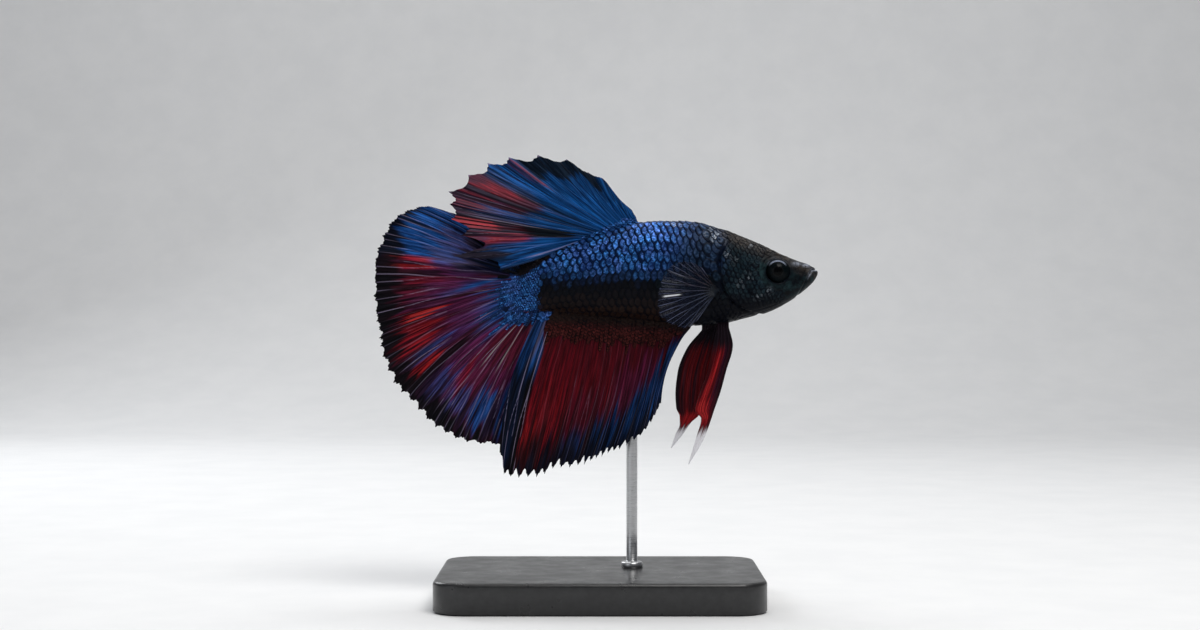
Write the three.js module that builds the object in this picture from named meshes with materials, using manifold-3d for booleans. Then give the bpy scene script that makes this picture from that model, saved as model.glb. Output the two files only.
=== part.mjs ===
// Siamese fighting fish (Betta splendens), adult male of a long-finned strain:
// a life-size still model held on a plain display stand.
// Millimetres, +Z up, +X towards the snout, the fish's right flank towards -Y.
// The origin is the centre of the underside of the stand's base.
import * as THREE from 'three';
import { mergeVertices } from 'three/addons/utils/BufferGeometryUtils.js';
import Module from 'manifold-3d';

const wasm = await Module();
wasm.setup();

// ---------------------------------------------------------------- sizes
const GAP = 0.3;                 // clearance between neighbouring pieces
const FIN_T = 0.6;               // thickness of the large unpaired fins
const PAIRED_T = 0.55;           // thickness of the paired fins
const BODY_SEGMENTS = 26;        // points round one body section

// Body sections: x, top of the back, underside, half width, height of the
// widest place as a share of the depth, roundness (2 is an ellipse)
const SECTIONS = [
  [-13.00, 54.55, 46.25, 0.62, 0.50, 2.0],   // rear end of the tail base
  [-11.30, 55.25, 46.45, 1.15, 0.50, 2.0],
  [-9.70, 55.80, 46.65, 1.75, 0.50, 2.0],
  [-6.50, 57.05, 46.65, 2.50, 0.51, 2.0],
  [-2.40, 58.45, 46.30, 3.05, 0.52, 2.05],
  [1.60, 59.85, 45.95, 3.45, 0.53, 2.1],
  [6.00, 61.10, 45.60, 3.80, 0.54, 2.1],
  [9.70, 61.45, 45.25, 4.00, 0.54, 2.15],
  [13.00, 61.45, 44.70, 4.15, 0.53, 2.2],
  [16.20, 61.20, 44.40, 4.30, 0.51, 2.25],
  [19.40, 60.30, 44.60, 4.35, 0.48, 2.3],    // behind the gill covers
  [22.70, 59.00, 45.40, 4.25, 0.45, 2.3],
  [25.90, 57.70, 46.25, 3.95, 0.44, 2.3],
  [28.50, 56.45, 47.20, 3.55, 0.45, 2.35],   // through the eyes
  [30.80, 55.45, 48.40, 3.05, 0.47, 2.4],
  [32.40, 54.85, 49.60, 2.60, 0.50, 2.4],
  [33.50, 54.50, 50.45, 2.15, 0.54, 2.4],
  [34.30, 54.05, 51.20, 1.65, 0.60, 2.3],
  [34.90, 53.60, 51.95, 1.10, 0.66, 2.1],
  [35.25, 53.20, 52.60, 0.45, 0.70, 2.0],    // tip of the snout
];
const HEAD_FROM = 18.75;         // cut between trunk and head
const TAIL_FROM = -2.60;         // cut between trunk and tail base

// Eyes: flattened balls set in open sockets
const EYE = { x: 28.50, z: 53.20, y: 2.55, r: 1.98, ry: 1.45 };

// Gill covers: an oval plate let into each cheek
const GILL = { x: 21.95, z: 51.70, rx: 2.55, rz: 4.10, inner: 2.75 };

// Mouth: the slit runs back and down from the lips, then the jaw's hind edge
const MOUTH = [[36.20, 53.62], [34.15, 53.48], [33.50, 52.45], [32.90, 51.20], [31.00, 47.40]];

// Unpaired fins. Each row of an edge is one place along the fin: share of the
// way along it, x and z of the free edge there, how far the web draws in
// between ray tips (as a share of the ray), and how far the rays bow sideways
const DORSAL = {
  base: [[6.00, 61.50], [3.50, 60.75], [0.80, 59.92], [-2.40, 58.72]],
  edge: [
    [0.00, 5.18, 63.20, 0.02, 0.0], [0.09, 3.24, 64.95, 0.02, 0.2],
    [0.18, 0.32, 68.45, 0.02, 0.3], [0.27, -1.94, 69.35, 0.04, 0.3],
    [0.36, -5.50, 71.50, 0.07, 0.3], [0.46, -10.10, 72.10, 0.07, 0.3],
    [0.56, -14.90, 71.80, 0.07, 0.3], [0.64, -18.30, 70.80, 0.06, 0.3],
    [0.71, -21.50, 68.90, 0.06, 0.3], [0.78, -24.50, 66.10, 0.05, 0.3],
    [0.84, -24.45, 64.10, 0.04, 0.3], [0.89, -24.10, 61.65, 0.05, 0.2],
    [0.93, -22.60, 59.00, 0.16, 0.1], [0.96, -23.80, 55.60, 0.26, 0.0],
    [1.00, -16.30, 54.25, 0.10, 0.0],
  ],
  spread: 1, turn: 1, tips: 'rows', between: 4, rows: 5, sharp: 1.6,
};
const CAUDAL = {
  base: [[-13.34, 54.20], [-13.36, 51.80], [-13.36, 49.00], [-13.10, 45.92], [-10.95, 45.98]],
  spread: 1.35,                  // rays crowd towards the upper end of the base
  edge: [
    [0.00, -24.80, 62.90, 0.02, 1.5], [0.08, -28.70, 64.00, 0.03, 1.0],
    [0.16, -32.80, 62.60, 0.03, 0.6], [0.24, -35.60, 58.70, 0.03, 0.4],
    [0.32, -36.80, 53.20, 0.025, 0.2], [0.40, -36.50, 46.80, 0.025, 0.2],
    [0.48, -36.00, 43.20, 0.03, 0.4], [0.55, -35.70, 40.30, 0.045, 0.6],
    [0.62, -34.10, 35.80, 0.06, 0.9], [0.70, -31.10, 32.10, 0.06, 1.2],
    [0.80, -26.80, 27.90, 0.05, 0.9], [0.90, -21.70, 25.40, 0.035, 0.4],
    [1.00, -14.60, 24.60, 0.03, 0.0],
  ],
  turn: -1, tips: 30, between: 2, rows: 6, sharp: 1.2,
};
const ANAL = {
  base: [[-10.00, 46.00], [-2.60, 45.85], [4.00, 45.35], [10.00, 44.80], [14.60, 44.00]],
  edge: [
    [0.00, -16.20, 23.90, 0.03, -1.35], [0.05, -15.30, 20.10, 0.05, -0.9],
    [0.12, -13.20, 19.60, 0.05, -0.4], [0.20, -10.30, 19.90, 0.05, 0.0],
    [0.30, -7.10, 21.20, 0.055, 0.4], [0.40, -3.70, 21.50, 0.055, 0.7],
    [0.55, 0.00, 23.10, 0.05, 0.7], [0.68, 3.10, 24.40, 0.05, 0.5],
    [0.80, 6.50, 26.50, 0.045, 0.1], [0.90, 8.60, 29.20, 0.04, -0.5],
    [1.00, 9.90, 31.80, 0.03, -1.25],
  ],
  spread: 1, turn: 1, tips: 25, between: 2, rows: 6, sharp: 1.0,
};

// Pelvic (ventral) fins: share of the way down, then front and rear edge x.
const PELVIC_R = {
  top: 43.95, tip: 22.20, y: -1.15, splay: -1.70,
  edges: [
    [0.00, 20.75, 18.85], [0.13, 21.40, 18.20], [0.32, 20.30, 17.30],
    [0.47, 19.40, 16.10], [0.60, 18.40, 15.30], [0.66, 17.95, 16.30],
    [0.80, 16.80, 15.50], [1.00, 14.30, 14.16],
  ],
};
const PELVIC_L = {
  top: 43.95, tip: 24.45, y: 1.15, splay: 1.90,
  edges: [
    [0.00, 19.30, 16.60], [0.16, 18.90, 14.10], [0.36, 18.00, 12.65],
    [0.54, 17.50, 12.30], [0.66, 17.00, 12.45], [0.73, 16.10, 13.00],
    [0.79, 14.80, 13.05], [0.88, 13.60, 12.40], [1.00, 11.75, 11.60],
  ],
};

// Pectoral fins: a fan of rays from a short root on the flank. Angles are
// measured up from straight back, and the fan swings out from the body.
const PECTORAL = {
  root: [18.15, 50.05], rootHalf: 1.1, y: 4.72, swing: 0.52,
  rays: [[-56, 4.4], [-52, 6.4], [-36, 8.2], [-22, 9.4], [-7, 8.9], [8, 8.4], [28, 7.4], [45, 5.3], [56, 3.1]],
};

// Stand: a flat base and one rod that rises behind the anal fin into a socket
// low on the far flank
const BASE = { x: 52, y: 36, h: 5, corner: 5, bevel: 0.6 };
const ROD = { x: 5.2, y: 2.45, r: 0.9, top: 48.6, foot: 3.0 };

// ---------------------------------------------------------------- helpers
// Smooth curve through rows of numbers, without overshoot (monotone cubic)
function through(xs, ys) {
  const n = xs.length, d = [], m = [];
  for (let i = 0; i < n - 1; i++) d.push((ys[i + 1] - ys[i]) / (xs[i + 1] - xs[i]));
  m.push(d[0]);
  for (let i = 1; i < n - 1; i++) {
    if (d[i - 1] * d[i] <= 0) { m.push(0); continue; }
    const h0 = xs[i] - xs[i - 1], h1 = xs[i + 1] - xs[i];
    const w0 = 2 * h1 + h0, w1 = h1 + 2 * h0;
    m.push((w0 + w1) / (w0 / d[i - 1] + w1 / d[i]));
  }
  m.push(d[n - 2]);
  return x => {
    let i = 0;
    while (i < n - 2 && x > xs[i + 1]) i++;
    const h = xs[i + 1] - xs[i], t = Math.min(1, Math.max(0, (x - xs[i]) / h));
    const a = (1 + 2 * t) * (1 - t) ** 2, b = t * (1 - t) ** 2;
    const c = t * t * (3 - 2 * t), e = t * t * (t - 1);
    return a * ys[i] + b * h * m[i] + c * ys[i + 1] + e * h * m[i + 1];
  };
}
const column = (rows, k) => through(rows.map(r => r[0]), rows.map(r => r[k]));
const along = points => {
  const s = points.map((_, i) => i / (points.length - 1));
  return [through(s, points.map(p => p[0])), through(s, points.map(p => p[1]))];
};
const smooth = (a, b, x) => { const t = Math.min(1, Math.max(0, (x - a) / (b - a))); return t * t * (3 - 2 * t); };
const power = (c, e) => Math.sign(c) * Math.abs(c) ** e;

// A closed geometry from points and triangles
function solid(points, faces) {
  const g = new THREE.BufferGeometry();
  g.setAttribute('position', new THREE.Float32BufferAttribute(points.flat(), 3));
  g.setIndex(faces.flat());
  return g;
}

// three.js geometry to a manifold solid, and back
function toManifold(geometry) {
  let g = geometry.clone();
  g.deleteAttribute('normal');
  g.deleteAttribute('uv');
  g = mergeVertices(g, 1e-4);
  return new wasm.Manifold(new wasm.Mesh({
    numProp: 3,
    vertProperties: new Float32Array(g.attributes.position.array),
    triVerts: new Uint32Array(g.index.array),
  }));
}
function toGeometry(manifold) {
  const mesh = manifold.getMesh(), pos = [];
  for (let i = 0; i < mesh.numVert; i++) {
    for (let k = 0; k < 3; k++) pos.push(mesh.vertProperties[i * mesh.numProp + k]);
  }
  const g = new THREE.BufferGeometry();
  g.setAttribute('position', new THREE.Float32BufferAttribute(pos, 3));
  g.setIndex(Array.from(mesh.triVerts));
  return g;
}

// ---------------------------------------------------------------- body
const top = column(SECTIONS, 1), under = column(SECTIONS, 2), half = column(SECTIONS, 3);
const widest = column(SECTIONS, 4), round = column(SECTIONS, 5);

function section(x) {
  const t = top(x), b = under(x), w = half(x), zm = b + (t - b) * widest(x), e = 2 / round(x);
  const ring = [];
  for (let k = 0; k < BODY_SEGMENTS; k++) {
    const a = 2 * Math.PI * k / BODY_SEGMENTS, c = Math.cos(a), s = Math.sin(a);
    ring.push([x, -w * power(c, e), zm + (s > 0 ? t - zm : zm - b) * power(s, e)]);
  }
  return { ring, middle: [x, 0, zm] };
}

// Closed loft through the body's sections at the given places, from rear to front
function loft(places) {
  const points = [], faces = [], n = BODY_SEGMENTS, rings = places.map(section);
  for (const r of rings) points.push(...r.ring);
  for (let i = 0; i + 1 < rings.length; i++) {
    for (let k = 0; k < n; k++) {
      const a = i * n + k, b = i * n + (k + 1) % n, c = a + n, d = b + n;
      faces.push([a, c, b], [b, c, d]);
    }
  }
  const rear = points.push(rings[0].middle) - 1;
  const front = points.push(rings[rings.length - 1].middle) - 1;
  const last = (rings.length - 1) * n;
  for (let k = 0; k < n; k++) {
    faces.push([rear, k, (k + 1) % n], [front, last + (k + 1) % n, last + k]);
  }
  return solid(points, faces);
}
const steps = (a, b, n) => Array.from({ length: n + 1 }, (_, i) => a + (b - a) * i / n);

const tailBase = loft(steps(-13.0, TAIL_FROM - GAP / 2, 6));
let trunk = toManifold(loft(steps(TAIL_FROM + GAP / 2, HEAD_FROM - GAP / 2, 11)));
const headPlaces = [
  ...steps(HEAD_FROM + GAP / 2, 31.0, 7), 32.0, 32.9, 33.7, 34.3, 34.85, 35.25];
let head = toManifold(loft(headPlaces));

// Prism along Y with the given outline in X and Z
function prism(outline, y0, y1) {
  const g = new THREE.ExtrudeGeometry(
    new THREE.Shape(outline.map(p => new THREE.Vector2(p[0], p[1]))),
    { depth: y1 - y0, bevelEnabled: false, steps: 1 });
  g.rotateX(Math.PI / 2);          // depth now runs along -Y
  g.translate(0, y1, 0);
  return toManifold(g);
}
const oval = (x, z, rx, rz, n = 22) => Array.from({ length: n }, (_, i) => {
  const a = 2 * Math.PI * i / n;
  return [x + rx * Math.cos(a), z + rz * Math.sin(a)];
});

// Eye sockets, and the eyes in them
const eyes = {};
for (const [name, side] of [['eye_right', -1], ['eye_left', 1]]) {
  const ball = new THREE.SphereGeometry(1, 16, 10);
  ball.rotateX(Math.PI / 2);
  const socket = ball.clone();
  socket.scale(EYE.r + GAP, EYE.ry + GAP, EYE.r + GAP);
  socket.translate(EYE.x, side * EYE.y, EYE.z);
  head = head.subtract(toManifold(socket));
  ball.scale(EYE.r, EYE.ry, EYE.r);
  ball.translate(EYE.x, side * EYE.y, EYE.z);
  eyes[name] = ball;
}

// Gill covers, cut out of the cheeks
const covers = {};
for (const [name, side] of [['gill_cover_right', -1], ['gill_cover_left', 1]]) {
  const y = (a, b) => side < 0 ? [-b, -a] : [a, b];
  covers[name] = toGeometry(head.intersect(
    prism(oval(GILL.x, GILL.z, GILL.rx, GILL.rz), ...y(GILL.inner, 8))));
  head = head.subtract(
    prism(oval(GILL.x, GILL.z, GILL.rx + GAP, GILL.rz + GAP), ...y(GILL.inner - GAP, 9)));
}

// The mouth slit parts the lower jaw from the head
function slit(line, width) {
  const side = s => line.map((p, i) => {
    const q = line[Math.min(i + 1, line.length - 1)], r = line[Math.max(i - 1, 0)];
    const dx = q[0] - r[0], dz = q[1] - r[1], l = Math.hypot(dx, dz);
    return [p[0] - s * dz / l * width / 2, p[1] + s * dx / l * width / 2];
  });
  return [...side(1), ...side(-1).reverse()];
}
const parted = head.subtract(prism(slit(MOUTH, GAP), -8, 8)).decompose();
parted.sort((a, b) => b.volume() - a.volume());
const headGeometry = toGeometry(parted[0]), jawGeometry = toGeometry(parted[1]);

// Socket for the rod, low on the left flank
function upright(r, z0, z1, sides) {
  const g = new THREE.CylinderGeometry(r, r, z1 - z0, sides);
  g.rotateX(Math.PI / 2);
  g.translate(ROD.x, ROD.y, (z0 + z1) / 2);
  return g;
}
trunk = trunk.subtract(toManifold(upright(ROD.r + GAP, 40, ROD.top + GAP, 16)));

// ---------------------------------------------------------------- fins
// How much the free edge draws in between the ray tips at place u
function notch(f, u) {
  let i = 0;
  while (i < f.at.length - 2 && u >= f.at[i + 1]) i++;
  const part = Math.min(1, (u - f.at[i]) / (f.at[i + 1] - f.at[i]));
  const uneven = f.tips === 'rows' ? 1 : 0.75 + 0.5 * Math.sin(2.3 * i + 0.7) ** 2;
  return f.web((f.at[i] + f.at[i + 1]) / 2) * uneven * (1 - Math.abs(2 * part - 1) ** f.sharp);
}

// Middle surface of an unpaired fin at place u along the base, v out to the edge
function finPoint(f, u, v, lean) {
  const w = u ** f.spread, bx = f.b[0](w), bz = f.b[1](w), tx = f.t[0](u), tz = f.t[1](u);
  const l = Math.hypot(tx - bx, tz - bz), r = v * (1 - notch(f, u));
  const bow = 4 * f.bow(u) * r * (1 - r) * f.turn;
  return [
    bx + (tx - bx) * r - (tz - bz) / l * bow,
    lean(u, r),
    bz + (tz - bz) * r + (tx - bx) / l * bow,
  ];
}

// Closed plate of even thickness over a grid of middle points
function plate(grid, thickness) {
  const nu = grid.length, nv = grid[0].length, points = [], faces = [];
  const at = (i, j) => new THREE.Vector3(...grid[i][j]);
  const id = (side, i, j) => (side * nu + i) * nv + j;
  for (const s of [1, -1]) {
    for (let i = 0; i < nu; i++) {
      for (let j = 0; j < nv; j++) {
        const du = at(Math.min(i + 1, nu - 1), j).sub(at(Math.max(i - 1, 0), j));
        const dv = at(i, Math.min(j + 1, nv - 1)).sub(at(i, Math.max(j - 1, 0)));
        const n = du.cross(dv).normalize();
        const p = at(i, j).addScaledVector(n, s * thickness / 2);
        points.push([p.x, p.y, p.z]);
      }
    }
  }
  const quad = (a, b, c, d) => faces.push([a, b, c], [a, c, d]);
  for (let i = 0; i + 1 < nu; i++) {
    for (let j = 0; j + 1 < nv; j++) {
      quad(id(0, i, j), id(0, i + 1, j), id(0, i + 1, j + 1), id(0, i, j + 1));
      quad(id(1, i, j), id(1, i, j + 1), id(1, i + 1, j + 1), id(1, i + 1, j));
    }
    quad(id(0, i, 0), id(1, i, 0), id(1, i + 1, 0), id(0, i + 1, 0));
    const e = nv - 1;
    quad(id(0, i, e), id(0, i + 1, e), id(1, i + 1, e), id(1, i, e));
  }
  for (let j = 0; j + 1 < nv; j++) {
    quad(id(0, 0, j), id(0, 0, j + 1), id(1, 0, j + 1), id(1, 0, j));
    const e = nu - 1;
    quad(id(0, e, j), id(1, e, j), id(1, e, j + 1), id(0, e, j + 1));
  }
  return solid(points, faces);
}

function fin(spec, lean) {
  const at = spec.tips === 'rows' ? spec.edge.map(r => r[0]) : steps(0, 1, spec.tips);
  const f = {
    ...spec, at, b: along(spec.base), t: [column(spec.edge, 1), column(spec.edge, 2)],
    web: column(spec.edge, 3), bow: column(spec.edge, 4),
  };
  const us = [0];
  for (let i = 0; i + 1 < at.length; i++) us.push(...steps(at[i], at[i + 1], f.between).slice(1));
  return plate(us.map(u => steps(0, 1, f.rows).map(v => finPoint(f, u, v, lean))), FIN_T);
}

// Each fin billows a little to one side. The dorsal fin's hind lobe and the
// anal fin's hind edge lie on the right side of the tail fin.
const dorsalLean = (u, r) =>
  -1.9 * smooth(0.45, 0.95, u) * r ** 0.8 + 0.45 * Math.sin(9 * u + 0.6) * r * r * (1 - 0.6 * u);
const caudalLean = (u, r) =>
  0.42 * smooth(0.80, 1, u) + 0.95 * r ** 0.8
  + 1.05 * Math.sin(2 * Math.PI * (1.7 * u + 0.10)) * r * r * (1 - smooth(0.8, 1, u))
  + 0.5 * smooth(0.80, 1, u) * r;
const analLean = (u, r) =>
  -(0.5 + 0.9 * r ** 0.8) * (1 - smooth(0, 0.25, u))
  + 0.75 * Math.sin(2 * Math.PI * (2.1 * u + 0.28)) * r * r * (0.55 + 0.45 * u) * smooth(0, 0.3, u);

const dorsal = fin(DORSAL, dorsalLean);
const caudal = fin(CAUDAL, caudalLean);
const anal = fin(ANAL, analLean);

// Pelvic fins: narrow blades that end in a long soft point
function pelvic(spec) {
  const front = column(spec.edges, 1), rear = column(spec.edges, 2), n = 15, m = 4;
  const grid = steps(0, 1, n).map(v => steps(0, 1, m).map(s => {
    const x = rear(v) + (front(v) - rear(v)) * s;
    const z = spec.top + (spec.tip - spec.top) * v + 0.5 * (s - 0.5) * (1 - v);
    const y = spec.y + spec.splay * v ** 1.2 + Math.sign(spec.y) * 0.35 * Math.sin(Math.PI * s) * (1 - v);
    return [x, y, z];
  }));
  return plate(grid, PAIRED_T);
}

// Pectoral fins: fans that swing out from the flank
function pectoral(side) {
  const s = PECTORAL, n = s.rays.length - 1;
  const angle = through(s.rays.map((_, i) => i / n), s.rays.map(r => r[0]));
  const length = through(s.rays.map((_, i) => i / n), s.rays.map(r => r[1]));
  const grid = steps(0, 1, 16).map(u => steps(0, 1, 4).map(v => {
    const a = THREE.MathUtils.degToRad(angle(u)), l = length(u) * v;
    const back = Math.cos(a) * l, up = Math.sin(a) * l;
    const cup = 0.35 * Math.sin(Math.PI * u) * v * v;
    return [
      s.root[0] - back - 0.25 * v,
      side * (s.y + s.swing * (back + 0.3 * Math.abs(up) * v) - cup),
      s.root[1] + s.rootHalf * (2 * u - 1) + up,
    ];
  }));
  return plate(side < 0 ? grid : grid.slice().reverse(), PAIRED_T);
}

// ---------------------------------------------------------------- stand
function roundedPlate() {
  const { x, y, h, corner: r, bevel } = BASE, a = x / 2 - bevel, b = y / 2 - bevel;
  const s = new THREE.Shape();
  s.moveTo(-a + r, -b);
  s.lineTo(a - r, -b); s.absarc(a - r, -b + r, r, -Math.PI / 2, 0);
  s.lineTo(a, b - r); s.absarc(a - r, b - r, r, 0, Math.PI / 2);
  s.lineTo(-a + r, b); s.absarc(-a + r, b - r, r, Math.PI / 2, Math.PI);
  s.lineTo(-a, -b + r); s.absarc(-a + r, -b + r, r, Math.PI, 1.5 * Math.PI);
  const g = new THREE.ExtrudeGeometry(s, {
    depth: h - 2 * bevel, curveSegments: 4,
    bevelEnabled: true, bevelThickness: bevel, bevelSize: bevel, bevelSegments: 1,
  });
  g.translate(0, 0, bevel);
  return g;
}
const standBase = toGeometry(toManifold(roundedPlate()).subtract(
  toManifold(upright(ROD.r + GAP, BASE.h - ROD.foot, BASE.h + 2, 16))));
const standRod = upright(ROD.r, BASE.h - ROD.foot + GAP, ROD.top, 16);

// ---------------------------------------------------------------- scene
const paint = (color, roughness, metalness = 0) => () =>
  new THREE.MeshStandardMaterial({ color, roughness, metalness, side: THREE.FrontSide });
const skinDark = paint(0x10161f, 0.5), scales = paint(0x1b3f86, 0.38);
const finBlue = paint(0x1c3d84, 0.5), finPurple = paint(0x4a1c3c, 0.5);
const finRed = paint(0x6a0f1e, 0.5), finClear = paint(0x27303f, 0.5);
const eyeDark = paint(0x0a0d10, 0.12);
const steel = paint(0xb9bcc0, 0.25, 1), blackBase = paint(0x1c1d1f, 0.45);

const fish = new THREE.Group();
function add(name, geometry, material) {
  geometry.computeVertexNormals();
  const mesh = new THREE.Mesh(geometry, material());
  mesh.name = name;
  fish.add(mesh);
}
add('head', headGeometry, skinDark);
add('lower_jaw', jawGeometry, skinDark);
add('gill_cover_right', covers.gill_cover_right, skinDark);
add('gill_cover_left', covers.gill_cover_left, skinDark);
add('eye_right', eyes.eye_right, eyeDark);
add('eye_left', eyes.eye_left, eyeDark);
add('trunk', toGeometry(trunk), scales);
add('tail_base', tailBase, scales);
add('dorsal_fin', dorsal, finBlue);
add('caudal_fin', caudal, finPurple);
add('anal_fin', anal, finRed);
add('pectoral_fin_right', pectoral(-1), finClear);
add('pectoral_fin_left', pectoral(1), finClear);
add('pelvic_fin_right', pelvic(PELVIC_R), finRed);
add('pelvic_fin_left', pelvic(PELVIC_L), finRed);
add('stand_base', standBase, blackBase);
add('stand_rod', standRod, steel);

export default fish;
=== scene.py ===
import bpy
import math
import numpy as np
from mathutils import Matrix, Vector


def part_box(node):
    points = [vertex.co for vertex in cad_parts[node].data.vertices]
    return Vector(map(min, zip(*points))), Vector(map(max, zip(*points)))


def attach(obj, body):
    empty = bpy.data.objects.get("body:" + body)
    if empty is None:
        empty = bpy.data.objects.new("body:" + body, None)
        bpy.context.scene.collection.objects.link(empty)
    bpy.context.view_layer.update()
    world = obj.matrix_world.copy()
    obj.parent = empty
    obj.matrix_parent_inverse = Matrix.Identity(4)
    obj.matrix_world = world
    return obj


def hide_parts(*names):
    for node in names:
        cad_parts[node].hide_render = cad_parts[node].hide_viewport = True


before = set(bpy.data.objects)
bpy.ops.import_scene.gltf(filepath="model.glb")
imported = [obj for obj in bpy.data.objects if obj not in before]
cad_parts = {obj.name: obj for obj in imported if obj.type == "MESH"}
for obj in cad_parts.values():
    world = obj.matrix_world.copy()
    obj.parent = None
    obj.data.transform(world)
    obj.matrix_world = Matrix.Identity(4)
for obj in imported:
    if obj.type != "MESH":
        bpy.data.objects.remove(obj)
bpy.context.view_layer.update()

PI = math.pi
MM = 0.001

# The fish lies along X with its snout at +X and its right flank at -Y.
# All shapes below are worked out in millimetres and scaled when a mesh is made.


# ------------------------------------------------------------------ curves
def through(xs, ys):
    """Monotone cubic curve through rows of numbers, without overshoot."""
    xs, ys = np.asarray(xs, float), np.asarray(ys, float)
    n = len(xs)
    h = np.diff(xs)
    d = np.diff(ys) / h
    m = np.zeros(n)
    m[0], m[-1] = d[0], d[-1]
    for i in range(1, n - 1):
        if d[i - 1] * d[i] > 0:
            w0, w1 = 2 * h[i] + h[i - 1], h[i] + 2 * h[i - 1]
            m[i] = (w0 + w1) / (w0 / d[i - 1] + w1 / d[i])

    def f(x):
        x = np.asarray(x, float)
        i = np.clip(np.searchsorted(xs, x, side="left") - 1, 0, n - 2)
        t = np.clip((x - xs[i]) / h[i], 0, 1)
        return ((1 + 2 * t) * (1 - t) ** 2 * ys[i] + t * (1 - t) ** 2 * h[i] * m[i]
                + t * t * (3 - 2 * t) * ys[i + 1] + t * t * (t - 1) * h[i] * m[i + 1])
    return f


def along(points):
    s = np.linspace(0, 1, len(points))
    p = np.asarray(points, float)
    return through(s, p[:, 0]), through(s, p[:, 1])


def sm(a, b, x):
    t = np.clip((np.asarray(x, float) - a) / (b - a), 0, 1)
    return t * t * (3 - 2 * t)


def bump(x, centre, width):
    return np.exp(-((np.asarray(x, float) - centre) / width) ** 2)


def power(c, e):
    return np.sign(c) * np.abs(c) ** e


def unit(v):
    return v / np.maximum(np.linalg.norm(v, axis=-1, keepdims=True), 1e-12)


def rand(*k):
    """Repeatable numbers from 0 to 1 for whole-number keys."""
    s = 0.0
    for v, w in zip(k, (127.1, 311.7, 74.7, 269.5)):
        s = s + np.asarray(v, float) * w
    s = np.sin(s) * 43758.5453
    return s - np.floor(s)


def noise(x, y, z=0.0, seed=0):
    """Smooth value noise, 0 to 1."""
    x, y, z = np.broadcast_arrays(np.asarray(x, float), np.asarray(y, float), np.asarray(z, float))
    ix, iy, iz = np.floor(x), np.floor(y), np.floor(z)
    fx, fy, fz = x - ix, y - iy, z - iz
    fx, fy, fz = fx * fx * (3 - 2 * fx), fy * fy * (3 - 2 * fy), fz * fz * (3 - 2 * fz)
    out = 0.0
    for a in (0, 1):
        wx = fx if a else 1 - fx
        for b in (0, 1):
            wy = fy if b else 1 - fy
            for c in (0, 1):
                wz = fz if c else 1 - fz
                out = out + wx * wy * wz * rand(ix + a, iy + b, iz + c, seed)
    return out


def fractal(x, y, z=0.0, seed=0, octaves=3):
    total, weight, size = 0.0, 0.0, 1.0
    for o in range(octaves):
        total = total + size * noise(np.asarray(x) * 2 ** o, np.asarray(y) * 2 ** o, np.asarray(z) * 2 ** o, seed + 7 * o)
        weight += size
        size *= 0.5
    return total / weight


def polyline(points, X, Z):
    """Distance from (X, Z) to a line of points, the share of the way along it,
    and the side: positive to the left of the direction of travel."""
    p = np.asarray(points, float)
    seg = np.diff(p, axis=0)
    ln = np.hypot(seg[:, 0], seg[:, 1])
    total, best = ln.sum(), np.full(np.shape(X), 1e9)
    share, side = np.zeros(np.shape(X)), np.zeros(np.shape(X))
    start = 0.0
    for i in range(len(seg)):
        dx, dz = X - p[i, 0], Z - p[i, 1]
        t = np.clip((dx * seg[i, 0] + dz * seg[i, 1]) / ln[i] ** 2, 0, 1)
        ex, ez = dx - t * seg[i, 0], dz - t * seg[i, 1]
        d = np.hypot(ex, ez)
        near = d < best
        cross = (seg[i, 0] * dz - seg[i, 1] * dx) / ln[i]
        best = np.where(near, d, best)
        share = np.where(near, (start + t * ln[i]) / total, share)
        side = np.where(near, np.sign(cross), side)
        start += ln[i]
    return best, share, side


# ------------------------------------------------------------------ meshes
def make(name, points, quads=None, tris=None, fields=None, uv=None, smooth=True, closed=True):
    """A mesh object from points in millimetres. Closed shapes are turned so that
    their faces point out."""
    me = bpy.data.meshes.new(name)
    points = np.asarray(points, float).reshape(-1, 3)
    me.vertices.add(len(points))
    me.vertices.foreach_set("co", (points * MM).astype(np.float32).ravel())
    groups = [(np.asarray(f, np.int32).reshape(-1, k), k) for f, k in ((quads, 4), (tris, 3)) if f is not None and len(f)]
    volume = 0.0
    for faces, k in groups:
        a = points[faces[:, 0]]
        for i in range(1, k - 1):
            volume += float(np.einsum("ij,ij->i", a, np.cross(points[faces[:, i]], points[faces[:, i + 1]])).sum())
    turned = closed and volume < 0
    by_loop = uv is not None and len(uv) != len(points)
    loops, starts, maps, at = [], [], [], 0
    for faces, k in groups:
        if by_loop:
            own = np.asarray(uv, float)[at:at + faces.size].reshape(-1, k, 2)
            maps.append((own[:, ::-1] if turned else own).reshape(-1, 2))
        loops.append((faces[:, ::-1] if turned else faces).ravel())
        starts.append(at + k * np.arange(len(faces)))
        at += faces.size
    if by_loop:
        uv = np.concatenate(maps)
    loops, starts = np.concatenate(loops), np.concatenate(starts)
    me.loops.add(len(loops))
    me.loops.foreach_set("vertex_index", loops.astype(np.int32))
    me.polygons.add(len(starts))
    me.polygons.foreach_set("loop_start", starts.astype(np.int32))
    me.update(calc_edges=True)
    me.validate()
    me.polygons.foreach_set("use_smooth", np.full(len(me.polygons), smooth))
    for key, values in (fields or {}).items():
        a = me.attributes.new(key, "FLOAT", "POINT")
        a.data.foreach_set("value", np.asarray(values, np.float32).ravel())
    if uv is not None:
        index = np.zeros(len(me.loops), np.int32)
        me.loops.foreach_get("vertex_index", index)
        layer = me.uv_layers.new(name="OFBake")
        uv = np.asarray(uv, np.float32)
        flat = uv if by_loop else uv[index]
        layer.data.foreach_set("uv", flat.ravel())
    ob = bpy.data.objects.new(name, me)
    bpy.context.scene.collection.objects.link(ob)
    return ob


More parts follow.
